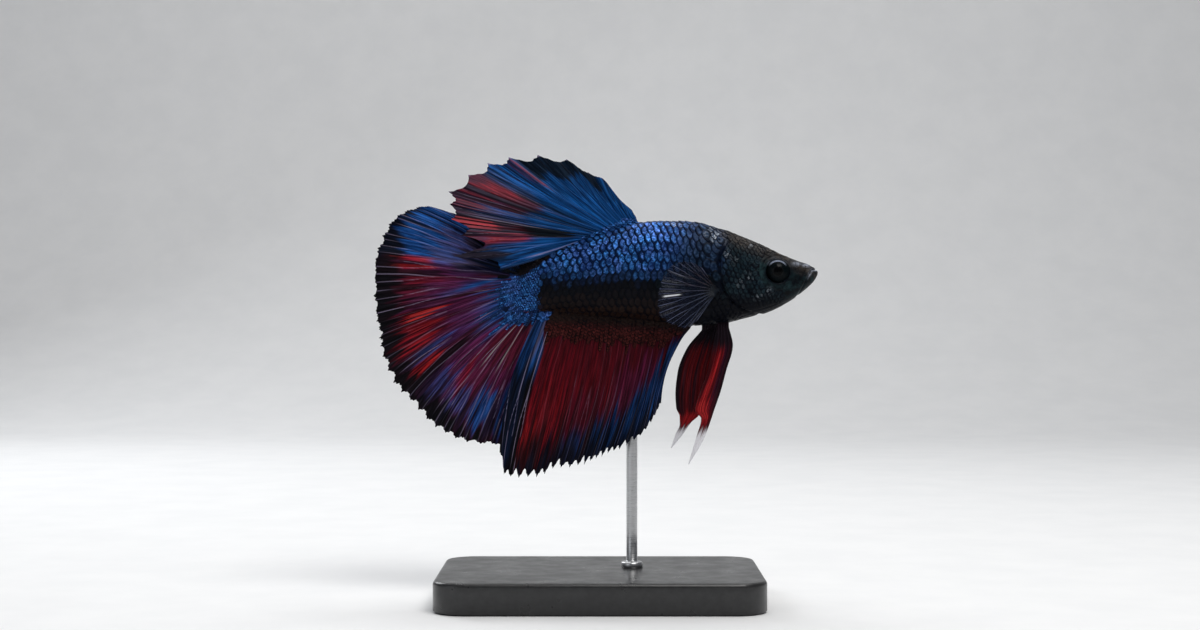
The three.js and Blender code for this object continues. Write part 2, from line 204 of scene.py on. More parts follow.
def grid_faces(nu, nv, offset=0, wrap=False, flip=False):
    i, j = np.meshgrid(np.arange(nu if wrap else nu - 1), np.arange(nv - 1), indexing="ij")
    a, b = i * nv + j, ((i + 1) % nu) * nv + j
    q = np.stack([a, b, b + 1, a + 1], -1).reshape(-1, 4) + offset
    return q[:, ::-1] if flip else q


# ------------------------------------------------------------------ the body's shape
SECTIONS = np.array([
    [-16.60, 52.40, 47.90, 0.05, 0.50, 2.0],
    [-15.90, 53.20, 47.00, 0.07, 0.50, 2.0],
    [-14.80, 54.00, 46.35, 0.16, 0.50, 2.0],
    [-13.00, 54.55, 46.25, 0.52, 0.50, 2.0],
    [-11.30, 55.25, 46.45, 1.15, 0.50, 2.0],
    [-9.70, 55.80, 46.65, 1.75, 0.50, 2.0],
    [-6.50, 57.05, 46.65, 2.50, 0.51, 2.0],
    [-2.40, 58.55, 46.30, 3.05, 0.52, 2.05],
    [1.60, 59.85, 45.95, 3.45, 0.53, 2.1],
    [6.00, 61.10, 45.60, 3.80, 0.54, 2.1],
    [9.70, 61.45, 45.25, 4.00, 0.54, 2.15],
    [13.00, 61.45, 44.70, 4.15, 0.53, 2.2],
    [16.20, 61.20, 44.40, 4.30, 0.51, 2.25],
    [19.40, 60.30, 44.60, 4.35, 0.48, 2.3],
    [22.70, 59.00, 45.40, 4.25, 0.45, 2.3],
    [25.90, 57.70, 46.25, 3.95, 0.44, 2.3],
    [28.50, 56.45, 47.20, 3.55, 0.45, 2.35],
    [30.80, 55.45, 48.40, 3.05, 0.47, 2.4],
    [32.40, 54.85, 49.60, 2.60, 0.50, 2.4],
    [33.50, 54.50, 50.45, 2.15, 0.54, 2.4],
    [34.30, 54.05, 51.20, 1.65, 0.60, 2.3],
    [34.90, 53.60, 51.95, 1.10, 0.66, 2.1],
    [35.25, 53.20, 52.60, 0.45, 0.70, 2.0],
])
top, under, half, widest, roundness = [through(SECTIONS[:, 0], SECTIONS[:, k]) for k in range(1, 6)]
X_REAR, X_FRONT = SECTIONS[0, 0], SECTIONS[-1, 0]


def trunk_point(x, a):
    """Plain body surface. Angle 0 is the middle of the right flank, 90 degrees
    the back, 180 the left flank and -90 the belly."""
    x, a = np.broadcast_arrays(np.asarray(x, float), np.asarray(a, float))
    t, b, w = top(x), under(x), half(x)
    zm = b + (t - b) * widest(x)
    e = 2 / roundness(x)
    c, s = np.cos(a), np.sin(a)
    return np.stack([x, -w * power(c, e), zm + np.where(s > 0, t - zm, zm - b) * power(s, e)], -1)


def trunk_normal(x, a):
    h = 2e-3
    px = trunk_point(np.minimum(x + h, X_FRONT), a) - trunk_point(np.maximum(x - h, X_REAR), a)
    pa = trunk_point(x, a + h) - trunk_point(x, a - h)
    return unit(np.cross(px, pa))


EYE = dict(x=28.50, z=53.20, y=2.50, r=1.95, ry=1.50)
MOUTH = [(36.20, 53.62), (34.15, 53.48), (33.50, 52.45), (32.90, 51.20), (31.00, 47.40)]
GILL_EDGE = [(21.6, 58.6), (20.1, 57.0), (19.35, 55.6), (19.12, 54.3), (19.25, 52.65), (19.55, 51.2),
             (20.15, 49.8), (21.1, 48.5), (22.6, 47.35), (24.6, 46.6), (27.0, 46.2)]
PREOPERCLE = [(24.9, 55.0), (24.0, 54.0), (23.5, 52.6), (23.5, 51.1), (24.0, 49.8), (25.2, 48.8), (27.0, 48.3)]
NOSTRILS = [(31.55, 54.15, 0.26, 0.24), (33.15, 53.98, 0.17, 0.20)]


def scaled_part(x, z):
    """1 on the scaled trunk, less on the head and at the very tail."""
    return (1 - sm(19.2, 20.6, x)) * sm(-16.6, -15.4, x)


def relief(x, a, p):
    """How far the skin stands out from the plain body surface."""
    X, Z = p[..., 0], p[..., 2]
    flank = np.abs(np.cos(a))
    head = sm(18.0, 19.6, X)
    d = -0.045 - 0.17 * scaled_part(X, Z)
    # low ridges that carry the dorsal and anal fins
    d = d + 0.30 * bump(p[..., 1], 0, 0.42) * (np.sin(a) > 0) * sm(-6, -2, X) * (1 - sm(5.6, 7.2, X))
    d = d + 0.28 * bump(p[..., 1], 0, 0.42) * (np.sin(a) < 0) * sm(-12, -10, X) * (1 - sm(14.2, 15.6, X))
    # gill cover: its hind edge stands over a groove
    gd, gs, gside = polyline(GILL_EDGE, X, Z)
    inside = gd * gside
    cover = sm(-0.02, 0.12, inside)
    fade = 1 - sm(0.0, 4.2, inside)
    d = d + head * 0 + (0.26 * cover * fade - 0.24 * bump(inside, -0.16, 0.20)) * sm(0.0, 0.08, gs) * (1 - 0.5 * sm(0.8, 1, gs)) * sm(18.0, 19.0, X)
    # rays of the gill membrane, under the cover's lower edge
    under_side = np.clip(-np.sin(a), 0, 1)
    for k, at in enumerate((0.26, 0.47, 0.68, 0.88)):
        off = np.abs(np.abs(a + PI / 2) - at) * half(X)
        d = d - 0.07 * np.exp(-(off / 0.09) ** 2) * sm(20.5, 22.5, X) * (1 - sm(30.0 - k, 32.0 - k, X)) * sm(0.5, 0.8, under_side)
    # the edge of the bone before the gill cover
    pd, ps, pside = polyline(PREOPERCLE, X, Z)
    ends = sm(0, 0.12, ps) * (1 - sm(0.86, 1, ps))
    d = d + (-0.11 * bump(pd, 0, 0.12) + 0.07 * bump(pd * pside, 0.26, 0.18)) * ends * flank ** 0.5
    # cheek and the fold below the eye
    d = d + 0.14 * np.exp(-((X - 25.9) / 1.7) ** 2 - ((Z - 51.0) / 1.7) ** 2) * flank
    # eye: socket, its rim and the folds round it
    ex, ez = X - EYE["x"], Z - EYE["z"]
    er = np.hypot(ex, ez)
    upper = sm(-0.35, 0.55, ez / np.maximum(er, 1e-6))
    eye = np.where(flank > 0.2, 1.0, 0.0)
    d = d + eye * ((0.02 + 0.11 * upper) * bump(er, 2.14, 0.15) - 0.04 * bump(er, 2.55, 0.15)
                   + 0.025 * bump(er, 2.85, 0.18) - 0.04 * bump(er, 3.15, 0.16) * (1 - upper))
    d = d - eye * (0.20 * sm(2.02, 1.88, er) + 1.25 * sm(1.86, 1.60, er))
    # nostrils
    for nx, nz, nr, depth in NOSTRILS:
        r = np.hypot((X - nx), (Z - nz))
        d = d + np.where(flank > 0.1, 1, 0) * (0.05 * bump(r, nr * 1.45, nr * 0.55) - depth * np.exp(-(r / (nr * 0.8)) ** 4))
    # mouth: slit, lips, and the hind edge of the jaw
    md, ms, mside = polyline(MOUTH, X, Z)
    lips = 1 - sm(0.26, 0.50, ms)
    jaw = sm(0.26, 0.50, ms) * (1 - 0.75 * sm(0.75, 1.0, ms))
    d = d - lips * 0.17 * bump(md, 0, 0.09) - jaw * 0.07 * bump(md, 0, 0.12)
    d = d + lips * 0.07 * bump(md, 0.28, 0.17) + jaw * 0.03 * bump(md, 0.30, 0.18)
    # upper jaw bone: a fold from the lip down behind the corner of the mouth
    fold = [(33.4, 53.9), (32.75, 52.7), (32.2, 51.3), (31.5, 49.9)]
    fd, fs, _ = polyline(fold, X, Z)
    d = d - 0.045 * bump(fd, 0, 0.12) * sm(0, 0.2, fs) * (1 - sm(0.7, 1, fs))
    # bony roof of the head: shallow furrows between and behind the eyes
    roof = np.clip(np.sin(a), 0, 1)
    d = d - 0.06 * bump(p[..., 1], 0, 0.45) * roof * sm(24, 27, X) * (1 - sm(32.5, 33.8, X))
    d = d + 0.07 * np.exp(-((np.abs(p[..., 1]) - 1.7) / 0.5) ** 2) * roof ** 2 * sm(25.5, 27.5, X) * (1 - sm(30.5, 32.0, X))
    # the skin is never quite even
    d = d + head * 0.035 * (fractal(X * 1.3, Z * 1.3, p[..., 1] * 1.3, 5) - 0.5)
    return d


def skin_point(x, a, lift=0.0):
    p = trunk_point(x, a)
    return p + trunk_normal(x, a) * (relief(x, a, p) + lift)[..., None]


# distance along the ring from the middle of the flank, for laying out scales
RX = np.linspace(X_REAR, X_FRONT, 260)
RA = np.linspace(-PI / 2 - 1.2, PI / 2 + 1.2, 421)
_rp = trunk_point(RX[:, None], RA[None, :])
_step = np.linalg.norm(np.diff(_rp, axis=1), axis=2)
_arc = np.concatenate([np.zeros((len(RX), 1)), np.cumsum(_step, 1)], 1)
_mid = len(RA) // 2
RING = _arc - _arc[:, _mid:_mid + 1]
Q = np.linspace(-16, 16, 641)
RING_ANGLE = np.stack([np.interp(Q, RING[i], RA) for i in range(len(RX))])
Q_TOP = np.array([np.interp(PI / 2, RA, RING[i]) for i in range(len(RX))])
Q_LOW = np.array([np.interp(-PI / 2, RA, RING[i]) for i in range(len(RX))])


def angle_at(x, q):
    """Ring angle at place x and distance q up the flank from its middle."""
    fx = np.clip((x - RX[0]) / (RX[1] - RX[0]), 0, len(RX) - 1.001)
    fq = np.clip((q - Q[0]) / (Q[1] - Q[0]), 0, len(Q) - 1.001)
    i, j = fx.astype(int), fq.astype(int)
    u, v = fx - i, fq - j
    A = RING_ANGLE
    return ((1 - u) * ((1 - v) * A[i, j] + v * A[i, j + 1]) + u * ((1 - v) * A[i + 1, j] + v * A[i + 1, j + 1]))


# the skin's own unwrap: along the body, and round it from the belly
_ux = np.array([X_REAR, -9.0, 18.0, 35.25])
_uu = np.array([0.010, 0.13, 0.60, 0.990])


def unwrap(x, a):
    """a runs from -90 degrees (belly) up the right flank, over the back to 270."""
    return np.stack([np.interp(x, _ux, _uu), 0.01 + 0.98 * (np.asarray(a) + PI / 2) / (2 * PI)], -1)


# ------------------------------------------------------------------ markings shared by skin and scales
def markings(p):
    """Amounts of each pigment, and of the painted highlights and shade, at points on the body, from 0 to 1."""
    X, Y, Z = p[..., 0], p[..., 1], p[..., 2]
    n1 = fractal(X * 0.45, Z * 0.45, Y * 0.45, 11)
    n2 = fractal(X * 1.1, Z * 1.1, Y * 1.1, 23)
    wob = 2.2 * (n1 - 0.5) + 0.8 * (n2 - 0.5)
    # iridescent blue over the upper flank, weaker towards the shoulder; the dark lower flank below it is partly the
    # fish's own dark pigment and partly painted shade
    blue = sm(50.9, 53.9, Z + 0.9 * wob) * (0.36 + 0.64 * sm(51.8, 55.2, Z + wob))
    blue = blue * (1 - 0.80 * sm(10.5, 18.0, X + 0.35 * (60 - Z) + wob)) * (1 - sm(18.5, 21.5, X))
    blue = np.maximum(blue, 0.95 * sm(59.6, 60.5, Z) * sm(3.0, 6.0, X) * (1 - sm(12.8, 14.2, X + 0.5 * wob)))
    # dark strip below the last ray of the dorsal fin: dark brown skin with painted shadow of the fin over it
    edge = np.interp(X, [-16, -12.3, -11.3, -9.7, -8.1, -6.5, -4.0, -1.5], [51.6, 52.3, 53.0, 54.0, 55.2, 56.6, 57.9, 59.6])
    brown_skin_and_fin_shadow = sm(-0.15, 0.35, Z - edge + 0.25 * (n2 - 0.5)) * (1 - sm(-4.4, -3.0, X))
    blue = blue * (1 - brown_skin_and_fin_shadow) * (1 - 0.22 * sm(57.4, 60.0, Z) * (1 - sm(4, 8, X)))
    # blue specks on the scaled root of the tail fin
    root = 1 - sm(-10.2, -8.9, X + 2.6 * (n2 - 0.5))
    shade = 1 - 0.55 * (1 - sm(-8.8, -7.2, X)) * (1 - sm(51.8, 53.4, Z)) * (1 - root)
    blue = np.maximum(blue * shade, 0.90 * root * (1 - brown_skin_and_fin_shadow) * sm(46.2, 47.2, Z) * (0.55 + 0.7 * n2))
    # brown band along the base of the anal fin
    low = 47.9 + 0.25 * (n2 - 0.5)
    brown = (1 - sm(low - 0.9, low + 0.4, Z)) * sm(-10.8, -9.6, X) * (1 - sm(9.5, 13.5, X))
    brown = np.maximum(brown, 0.45 * (1 - sm(48.4, 50.0, Z + 0.4 * wob)) * sm(-10.8, -9.6, X) * (1 - sm(12.0, 16.0, X)))
    brown = np.maximum(brown, 0.30 * brown_skin_and_fin_shadow)
    # head: teal black cheeks, brownish roof
    head = sm(17.8, 20.5, X)
    roof = head * sm(-0.4, 1.6, Z - (50.2 + (35.25 - X) * 0.40) - 1.4 + wob * 0.5)
    teal = np.clip(head * (1 - roof) * (0.35 + 1.1 * (n2 - 0.25)), 0, 1) * sm(47.4, 51.2, Z + 0.4 * wob)
    teal = np.maximum(teal, 0.75 * sm(10, 16, X + 0.3 * (58 - Z)) * (1 - head) * sm(48.0, 51.0, Z))
    pale = 1.0 * np.exp(-((X - 18.3) / 0.95) ** 2 - ((Z - 59.0) / 1.25) ** 2) * (0.3 + 1.2 * n2)
    pale = np.maximum(pale, 0.6 * np.exp(-((X - 20.4) / 0.45) ** 2 - ((Z - 55.9) / 0.5) ** 2))
    pale = np.maximum(pale, 0.55 * np.exp(-((X - 12.3) / 0.95) ** 2 - ((Z - 60.75) / 0.60) ** 2))
    # painted highlights on the nostril rims
    for nx, nz, nr, _ in NOSTRILS:
        pale = np.maximum(pale, 0.90 * np.exp(-(((X - nx - 0.10) / 0.66) ** 2 + ((Z - nz - 0.24) / 0.30) ** 2)))
    # painted highlights along the upper rim of the eye and along the lips
    ex, ez = X - EYE["x"], Z - EYE["z"]
    er = np.hypot(ex, ez)
    rim_highlight = bump(er, 1.99, 0.11) * sm(0.30, 0.75, ez / np.maximum(er, 1e-6))
    teal = teal * (1 - 0.9 * bump(er, 1.93, 0.24) * (1 - sm(-0.1, 0.4, ez / np.maximum(er, 1e-6))))
    pale = np.maximum(pale, 0.30 * rim_highlight)
    md, ms, mside = polyline(MOUTH, X, Z)
    pale = np.maximum(pale, 0.85 * bump(md * mside, 0.16, 0.13) * (1 - sm(0.30, 0.46, ms)))
    pale = np.maximum(pale, 0.30 * bump(md, 0.14, 0.12) * (1 - sm(0.30, 0.46, ms)))
    keel = bump(Y, 0, 0.55)
    # painted rim light along the top of the head
    pale = np.maximum(pale, 0.55 * bump(Y, 0, 0.36) * sm(19, 22, X) * (Z > 51))
    for fx, fz in ((23.9, 52.3), (25.4, 49.1), (21.5, 55.0), (27.2, 50.0), (24.4, 57.4), (19.9, 57.6), (22.6, 51.2)):
        pale = np.maximum(pale, 0.36 * np.exp(-((X - fx) ** 2 + (Z - fz) ** 2) / 0.30))
    # painted rim light along the underside of the jaw
    pale = np.maximum(pale, 0.30 * bump(Y, 0, 0.30) * sm(26, 29, X) * (Z < 51))
    return dict(blue=blue, brown=brown, teal=teal, roof=roof, pale=np.clip(pale, 0, 1))


# ------------------------------------------------------------------ materials
def node_tree(name):
    m = bpy.data.materials.new(name)
    m.use_nodes = True
    t = m.node_tree
    for n in list(t.nodes):
        t.nodes.remove(n)
    out = t.nodes.new("ShaderNodeOutputMaterial")
    b = t.nodes.new("ShaderNodeBsdfPrincipled")
    t.links.new(b.outputs[0], out.inputs[0])
    return m, t, b


class Net:
    """Short names for the shader nodes used here."""

    def __init__(self, tree):
        self.t = tree

    def new(self, kind):
        return self.t.nodes.new(kind)

    def link(self, a, b):
        self.t.links.new(a, b)

    def put(self, socket, value):
        if isinstance(value, bpy.types.NodeSocket):
            self.link(value, socket)
        else:
            socket.default_value = value

    def field(self, name):
        n = self.new("ShaderNodeAttribute")
        n.attribute_name = name
        n.attribute_type = "GEOMETRY"
        return n.outputs["Fac"]

    def place(self):
        return self.new("ShaderNodeNewGeometry").outputs["Position"]

    def math(self, op, a, b=None, clamp=False):
        n = self.new("ShaderNodeMath")
        n.operation = op
        n.use_clamp = clamp
        self.put(n.inputs[0], a)
        if b is not None:
            self.put(n.inputs[1], b)
        return n.outputs[0]

    def span(self, value, a, b, c, d, smooth=False):
        n = self.new("ShaderNodeMapRange")
        n.interpolation_type = "SMOOTHSTEP" if smooth else "LINEAR"
        self.put(n.inputs["Value"], value)
        for k, v in (("From Min", a), ("From Max", b), ("To Min", c), ("To Max", d)):
            self.put(n.inputs[k], v)
        return n.outputs[0]

    def mix(self, factor, a, b, mode="MIX"):
        n = self.new("ShaderNodeMix")
        n.data_type = "RGBA"
        n.blend_type = mode
        n.clamp_factor = True
        self.put(n.inputs["Factor"], factor)
        for socket, value in ((n.inputs[6], a), (n.inputs[7], b)):
            if isinstance(value, bpy.types.NodeSocket):
                self.link(value, socket)
            else:
                socket.default_value = (*value, 1.0)
        return n.outputs[2]

    def noise(self, scale, detail=3.0, rough=0.5, vector=None, distortion=0.0):
        n = self.new("ShaderNodeTexNoise")
        n.inputs["Scale"].default_value = scale
        n.inputs["Detail"].default_value = detail
        n.inputs["Roughness"].default_value = rough
        n.inputs["Distortion"].default_value = distortion
        self.link(vector if vector is not None else self.place(), n.inputs["Vector"])
        return n.outputs["Fac"]

    def cells(self, scale, feature="F1", vector=None, randomness=1.0):
        n = self.new("ShaderNodeTexVoronoi")
        n.feature = feature
        n.inputs["Scale"].default_value = scale
        n.inputs["Randomness"].default_value = randomness
        self.link(vector if vector is not None else self.place(), n.inputs["Vector"])
        return n.outputs["Distance"]

    def vec(self, x, y, z=0.0):
        n = self.new("ShaderNodeCombineXYZ")
        for s, v in zip(n.inputs, (x, y, z)):
            self.put(s, v)
        return n.outputs[0]

    def bump(self, height, strength, distance, normal=None):
        n = self.new("ShaderNodeBump")
        n.inputs["Strength"].default_value = strength
        n.inputs["Distance"].default_value = distance
        self.put(n.inputs["Height"], height)
        if normal is not None:
            self.link(normal, n.inputs["Normal"])
        return n.outputs[0]

    def facing(self, blend):
        n = self.new("ShaderNodeLayerWeight")
        n.inputs["Blend"].default_value = blend
        return n.outputs["Facing"]


BLUE = (0.0090, 0.0430, 0.1900)
BLUE_LIGHT = (0.0480, 0.1500, 0.5000)
CYAN = (0.0130, 0.0800, 0.2000)
NAVY = (0.0013, 0.0028, 0.0078)
BLACK = (0.0012, 0.0014, 0.0018)
BROWN = (0.0100, 0.0046, 0.0036)
TEAL = (0.0036, 0.0110, 0.0140)
ROOF = (0.0140, 0.0128, 0.0128)
PALE = (0.330, 0.360, 0.440)
MAROON = (0.0600, 0.0036, 0.0150)
PURPLE = (0.0550, 0.0130, 0.0850)
CRIMSON = (0.1150, 0.0016, 0.0040)
RED = (0.3600, 0.0060, 0.0120)
ORANGE = (0.5200, 0.0200, 0.0200)
LAVENDER = (0.3800, 0.3200, 0.4800)


def body_colour(n, variety):
    """Colour from the amounts of pigment, and of painted shade, that the markings store on a mesh."""
    fine = n.noise(2600, 4, 0.6)
    c = n.mix(n.span(fine, 0.3, 0.75, 0.0, 1.0), BLACK, NAVY)
    c = n.mix(n.math("MULTIPLY", n.field("teal"), 0.95), c, n.mix(n.math("MULTIPLY", n.span(n.noise(900, 5, 0.7), 0.42, 0.60, 0, 1), n.span(n.noise(260, 3, 0.6), 0.38, 0.60, 0.25, 1.0)), (0.0014, 0.0036, 0.0052), (0.0190, 0.0460, 0.0520)))
    rough = n.mix(n.span(n.noise(380, 4, 0.6), 0.40, 0.60, 0, 1), (0.0230, 0.0170, 0.0140), (0.0190, 0.0200, 0.0230))
    rough = n.mix(n.span(n.noise(1300, 5, 0.75), 0.50, 0.66, 0, 1), rough, (0.0880, 0.0770, 0.0690))
    rough = n.mix(n.span(n.noise(1900, 3, 0.6), 0.54, 0.64, 0, 0.85), rough, (0.0030, 0.0032, 0.0040))
    c = n.mix(n.math("MULTIPLY", n.field("roof"), 0.95), c, rough)
    c = n.mix(n.math("MULTIPLY", n.field("brown"), 0.95), c, n.mix(n.span(fine, 0.3, 0.8, 0, 1), BROWN, (0.0210, 0.0100, 0.0075)))
    blue = n.mix(variety, BLUE, CYAN)
    c = n.mix(n.field("blue"), c, blue)
    return c


def skin_material():
    m, t, b = node_tree("fish_skin")
    n = Net(t)
    c = body_colour(n, n.span(n.noise(420, 3, 0.5), 0.4, 0.7, 0, 1))
    c = n.mix(n.math("MULTIPLY", n.field("scaled"), 0.85), c, (0.0014, 0.0028, 0.0080))
    # pale flecks and patches, with the painted highlights on the eye rim, lips and nostrils and the painted rim light
    # along the top of the head and the jaw
    c = n.mix(n.math("MULTIPLY", n.field("pale"), n.span(n.noise(1800, 4, 0.7), 0.40, 0.60, 0.30, 1.0)), c, PALE)
    # fine scattered pigment cells on the bare skin
    specks = n.span(n.cells(5200), 0.10, 0.32, 0.55, 1.0, True)
    c = n.mix(n.math("SUBTRACT", 1.0, specks), c, (0.0010, 0.0014, 0.0020))
    n.link(c, b.inputs["Base Color"])
    n.link(n.span(n.noise(1500, 4, 0.6), 0.3, 0.7, 0.34, 0.56), b.inputs["Roughness"])
    b.inputs["Metallic"].default_value = 0.02
    b.inputs["Specular IOR Level"].default_value = 0.06
    b.inputs["Coat Weight"].default_value = 0.015
    b.inputs["Coat Roughness"].default_value = 0.18
    h = n.math("ADD", n.math("MULTIPLY", n.noise(2400, 5, 0.65), 0.7), n.math("MULTIPLY", n.cells(3600), -0.5))
    n.link(n.bump(h, 0.45, 0.00006), b.inputs["Normal"])
    return m


def scale_material():
    m, t, b = node_tree("fish_scales")
    n = Net(t)
    r = n.field("edge")            # 0 in the middle of a scale, 1 at its free rim
    own = n.field("own")           # one number for each scale
    c = body_colour(n, own)
    bare = n.math("MAXIMUM", n.field("teal"), n.field("roof"))
    c = n.mix(n.math("MULTIPLY", n.field("blue"), 0.80), c, (0.0022, 0.0120, 0.0640))
    c = n.mix(n.math("MULTIPLY", n.field("teal"), 0.72), c, (0.0022, 0.0060, 0.0150))
    c = n.mix(n.field("red"), c, n.mix(n.noise(700, 3, 0.6), (0.0100, 0.0021, 0.0021), (0.0300, 0.0050, 0.0050)))
    # painted sheen: a bright ring on each scale, broken up, round a darker middle; partly the scale's own blue shine
    # and partly painted highlight
    bent = n.math("ADD", r, n.span(n.noise(1500, 4, 0.7), 0.30, 0.70, -0.26, 0.26))
    ring = n.math("MULTIPLY", n.span(bent, 0.10, 0.46, 0.16, 1.0, True), n.span(bent, 0.62, 0.92, 1.0, 0.0, True))
    blot = n.math("MULTIPLY", n.span(n.noise(1400, 4, 0.7), 0.38, 0.58, 0.34, 1.15), n.span(n.noise(3200, 2, 0.5), 0.40, 0.58, 0.16, 1.15))
    # toward the shoulder and on the head the painted sheen breaks into specks
    specks = n.span(n.noise(2300, 5, 0.75), 0.48, 0.60, 0.04, 1.0)
    blot = n.math("ADD", n.math("MULTIPLY", blot, n.math("SUBTRACT", 1.0, bare)), n.math("MULTIPLY", specks, bare))
    painted_sheen = n.math("MULTIPLY", n.math("MULTIPLY", ring, blot), n.span(own, 0, 1, 0.42, 1.0))
    # colours of the painted sheen: a lighter, lit copy of each pigment
    sheen_blue = n.mix(n.span(n.noise(520, 3, 0.6), 0.40, 0.62, 0, 1), (0.0660, 0.3060, 0.9000), (0.1280, 0.2820, 0.9000))
    light = n.mix(n.field("blue"), (0.0034, 0.0032, 0.0046), sheen_blue)
    light = n.mix(n.field("brown"), light, (0.0190, 0.0120, 0.0100))
    light = n.mix(n.field("red"), light, (0.0900, 0.0175, 0.0165))
    light = n.mix(n.field("roof"), light, (0.1040, 0.0900, 0.0820))
    light = n.mix(n.field("teal"), light, n.mix(n.span(n.field("blue"), 0.0, 0.3, 0, 1), (0.0280, 0.0560, 0.0680), (0.0700, 0.1150, 0.2300)))
    c = n.mix(n.math("MULTIPLY", painted_sheen, 0.90), c, light)
    # dark rim: partly the dark edging of each scale, partly painted shade along its free edge
    rim = n.span(r, 0.72, 1.00, 0.0, 0.80, True)
    c = n.mix(rim, c, n.mix(n.field("blue"), (0.0010, 0.0016, 0.0040), (0.0018, 0.0072, 0.0300)))
    c = n.mix(n.math("MULTIPLY", rim, n.field("red")), c, (0.0034, 0.0008, 0.0010))
    # pale flecks near the middle of each scale, with the painted highlights and rim light of the markings where they
    # reach the scales
    flecks = n.math("MULTIPLY", n.span(n.noise(2600, 4, 0.7), 0.47, 0.60, 0.04, 1.0), n.span(r, 0.60, 1.00, 1.0, 0.0, True))
    c = n.mix(n.math("MULTIPLY", n.field("pale"), flecks), c, (0.4100, 0.4500, 0.5000))
    n.link(c, b.inputs["Base Color"])
    n.link(n.span(n.field("blue"), 0, 1, 0.02, 0.46), b.inputs["Metallic"])
    n.link(n.math("ADD", n.span(n.noise(1900, 3, 0.6), 0.3, 0.7, 0.30, 0.46), n.math("MULTIPLY", rim, 0.12)), b.inputs["Roughness"])
    b.inputs["Specular IOR Level"].default_value = 0.05
    b.inputs["Coat Weight"].default_value = 0.012
    b.inputs["Coat Roughness"].default_value = 0.16
    rings = n.math("SINE", n.math("MULTIPLY", r, 62.0))
    h = n.math("ADD", n.math("MULTIPLY", rings, 0.20), n.math("MULTIPLY", n.noise(3600, 4, 0.65), 0.9))
    n.link(n.bump(h, 0.35, 0.00003), b.inputs["Normal"])
    return m


def fin_material(name, thin=7.0, deep=(0.0040, 0.0400, 0.1900), bright=(0.0200, 0.1080, 0.3700), wine=MAROON, rose=(0.1100, 0.0100, 0.0340),
                 night=((0.0018, 0.0017, 0.0026), (0.0080, 0.0072, 0.0105))):
    """Webs and rays coloured by the pigment amounts and painted shadow stored on the fin."""
    m, t, b = node_tree(name)
    n = Net(t)
    ray, place, out = n.field("ray"), n.field("place"), n.field("out")
    # hair-fine streaks that run with the rays
    fine = n.noise(1.0, 4, 0.62, n.vec(n.math("MULTIPLY", place, thin), n.math("MULTIPLY", out, 0.20)))
    broad = n.noise(1.0, 3, 0.55, n.vec(n.math("MULTIPLY", place, thin * 0.3), n.math("MULTIPLY", out, 0.09)))
    c = n.mix(n.span(broad, 0.35, 0.7, 0, 1), BLACK, NAVY)
    c = n.mix(n.field("maroon"), c, n.mix(n.span(fine, 0.3, 0.7, 0, 1), wine, rose))
    c = n.mix(n.field("purple"), c, n.mix(n.span(fine, 0.3, 0.7, 0, 1), PURPLE, (0.1500, 0.0480, 0.2100)))
    c = n.mix(n.field("blue"), c, n.mix(n.span(fine, 0.3, 0.72, 0, 1), deep, bright))
    c = n.mix(n.field("crimson"), c, n.mix(n.span(fine, 0.3, 0.7, 0, 1), CRIMSON, (0.2000, 0.0050, 0.0090)))
    c = n.mix(n.field("red"), c, n.mix(n.span(fine, 0.3, 0.7, 0, 1), RED, ORANGE))
    # streaks of shade between the rays
    shade = n.math("MULTIPLY", n.span(fine, 0.34, 0.60, 0.40, 1.0, True), n.span(broad, 0.30, 0.58, 0.65, 1.0, True))
    c = n.mix(1.0, c, n.vec(shade, shade, shade), "MULTIPLY")
    # painted shadow along each side of a ray
    ray_shadow = n.field("ray_shadow")
    c = n.mix(n.math("MULTIPLY", ray_shadow, 0.40), c, (0.003, 0.003, 0.007))
    c = n.mix(n.field("dark"), c, n.mix(n.span(fine, 0.42, 0.75, 0, 1), *night))
    # painted light: the brightest reds are lifted to a bright, lit red
    c = n.mix(n.math("MULTIPLY", n.span(n.field("red"), 0.70, 1.10, 0.0, 0.50), n.span(fine, 0.30, 0.60, 0.3, 1.0)), c, (0.6600, 0.0560, 0.0520))
    pale = n.math("MULTIPLY", n.field("pale"), n.span(fine, 0.25, 0.6, 0.45, 1.0))
    c = n.mix(pale, c, LAVENDER)
    c = n.mix(n.field("white"), c, (0.80, 0.79, 0.83))
    n.link(c, b.inputs["Base Color"])
    n.link(n.span(n.field("blue"), 0, 1, 0.01, 0.34), b.inputs["Metallic"])
    n.link(n.span(fine, 0.3, 0.7, 0.34, 0.52), b.inputs["Roughness"])
    b.inputs["Specular IOR Level"].default_value = 0.035
    b.inputs["Coat Weight"].default_value = 0.0
    b.inputs["Coat Roughness"].default_value = 0.25
    # joints along the rays, and the fine ribbing of the web
    joints = n.math("MULTIPLY", n.math("SINE", n.math("MULTIPLY", out, 2 * PI / 0.42)), ray)
    h = n.math("ADD", n.math("MULTIPLY", joints, 0.30), n.math("MULTIPLY", fine, 0.9))
    n.link(n.bump(h, 0.5, 0.00005), b.inputs["Normal"])
    return m


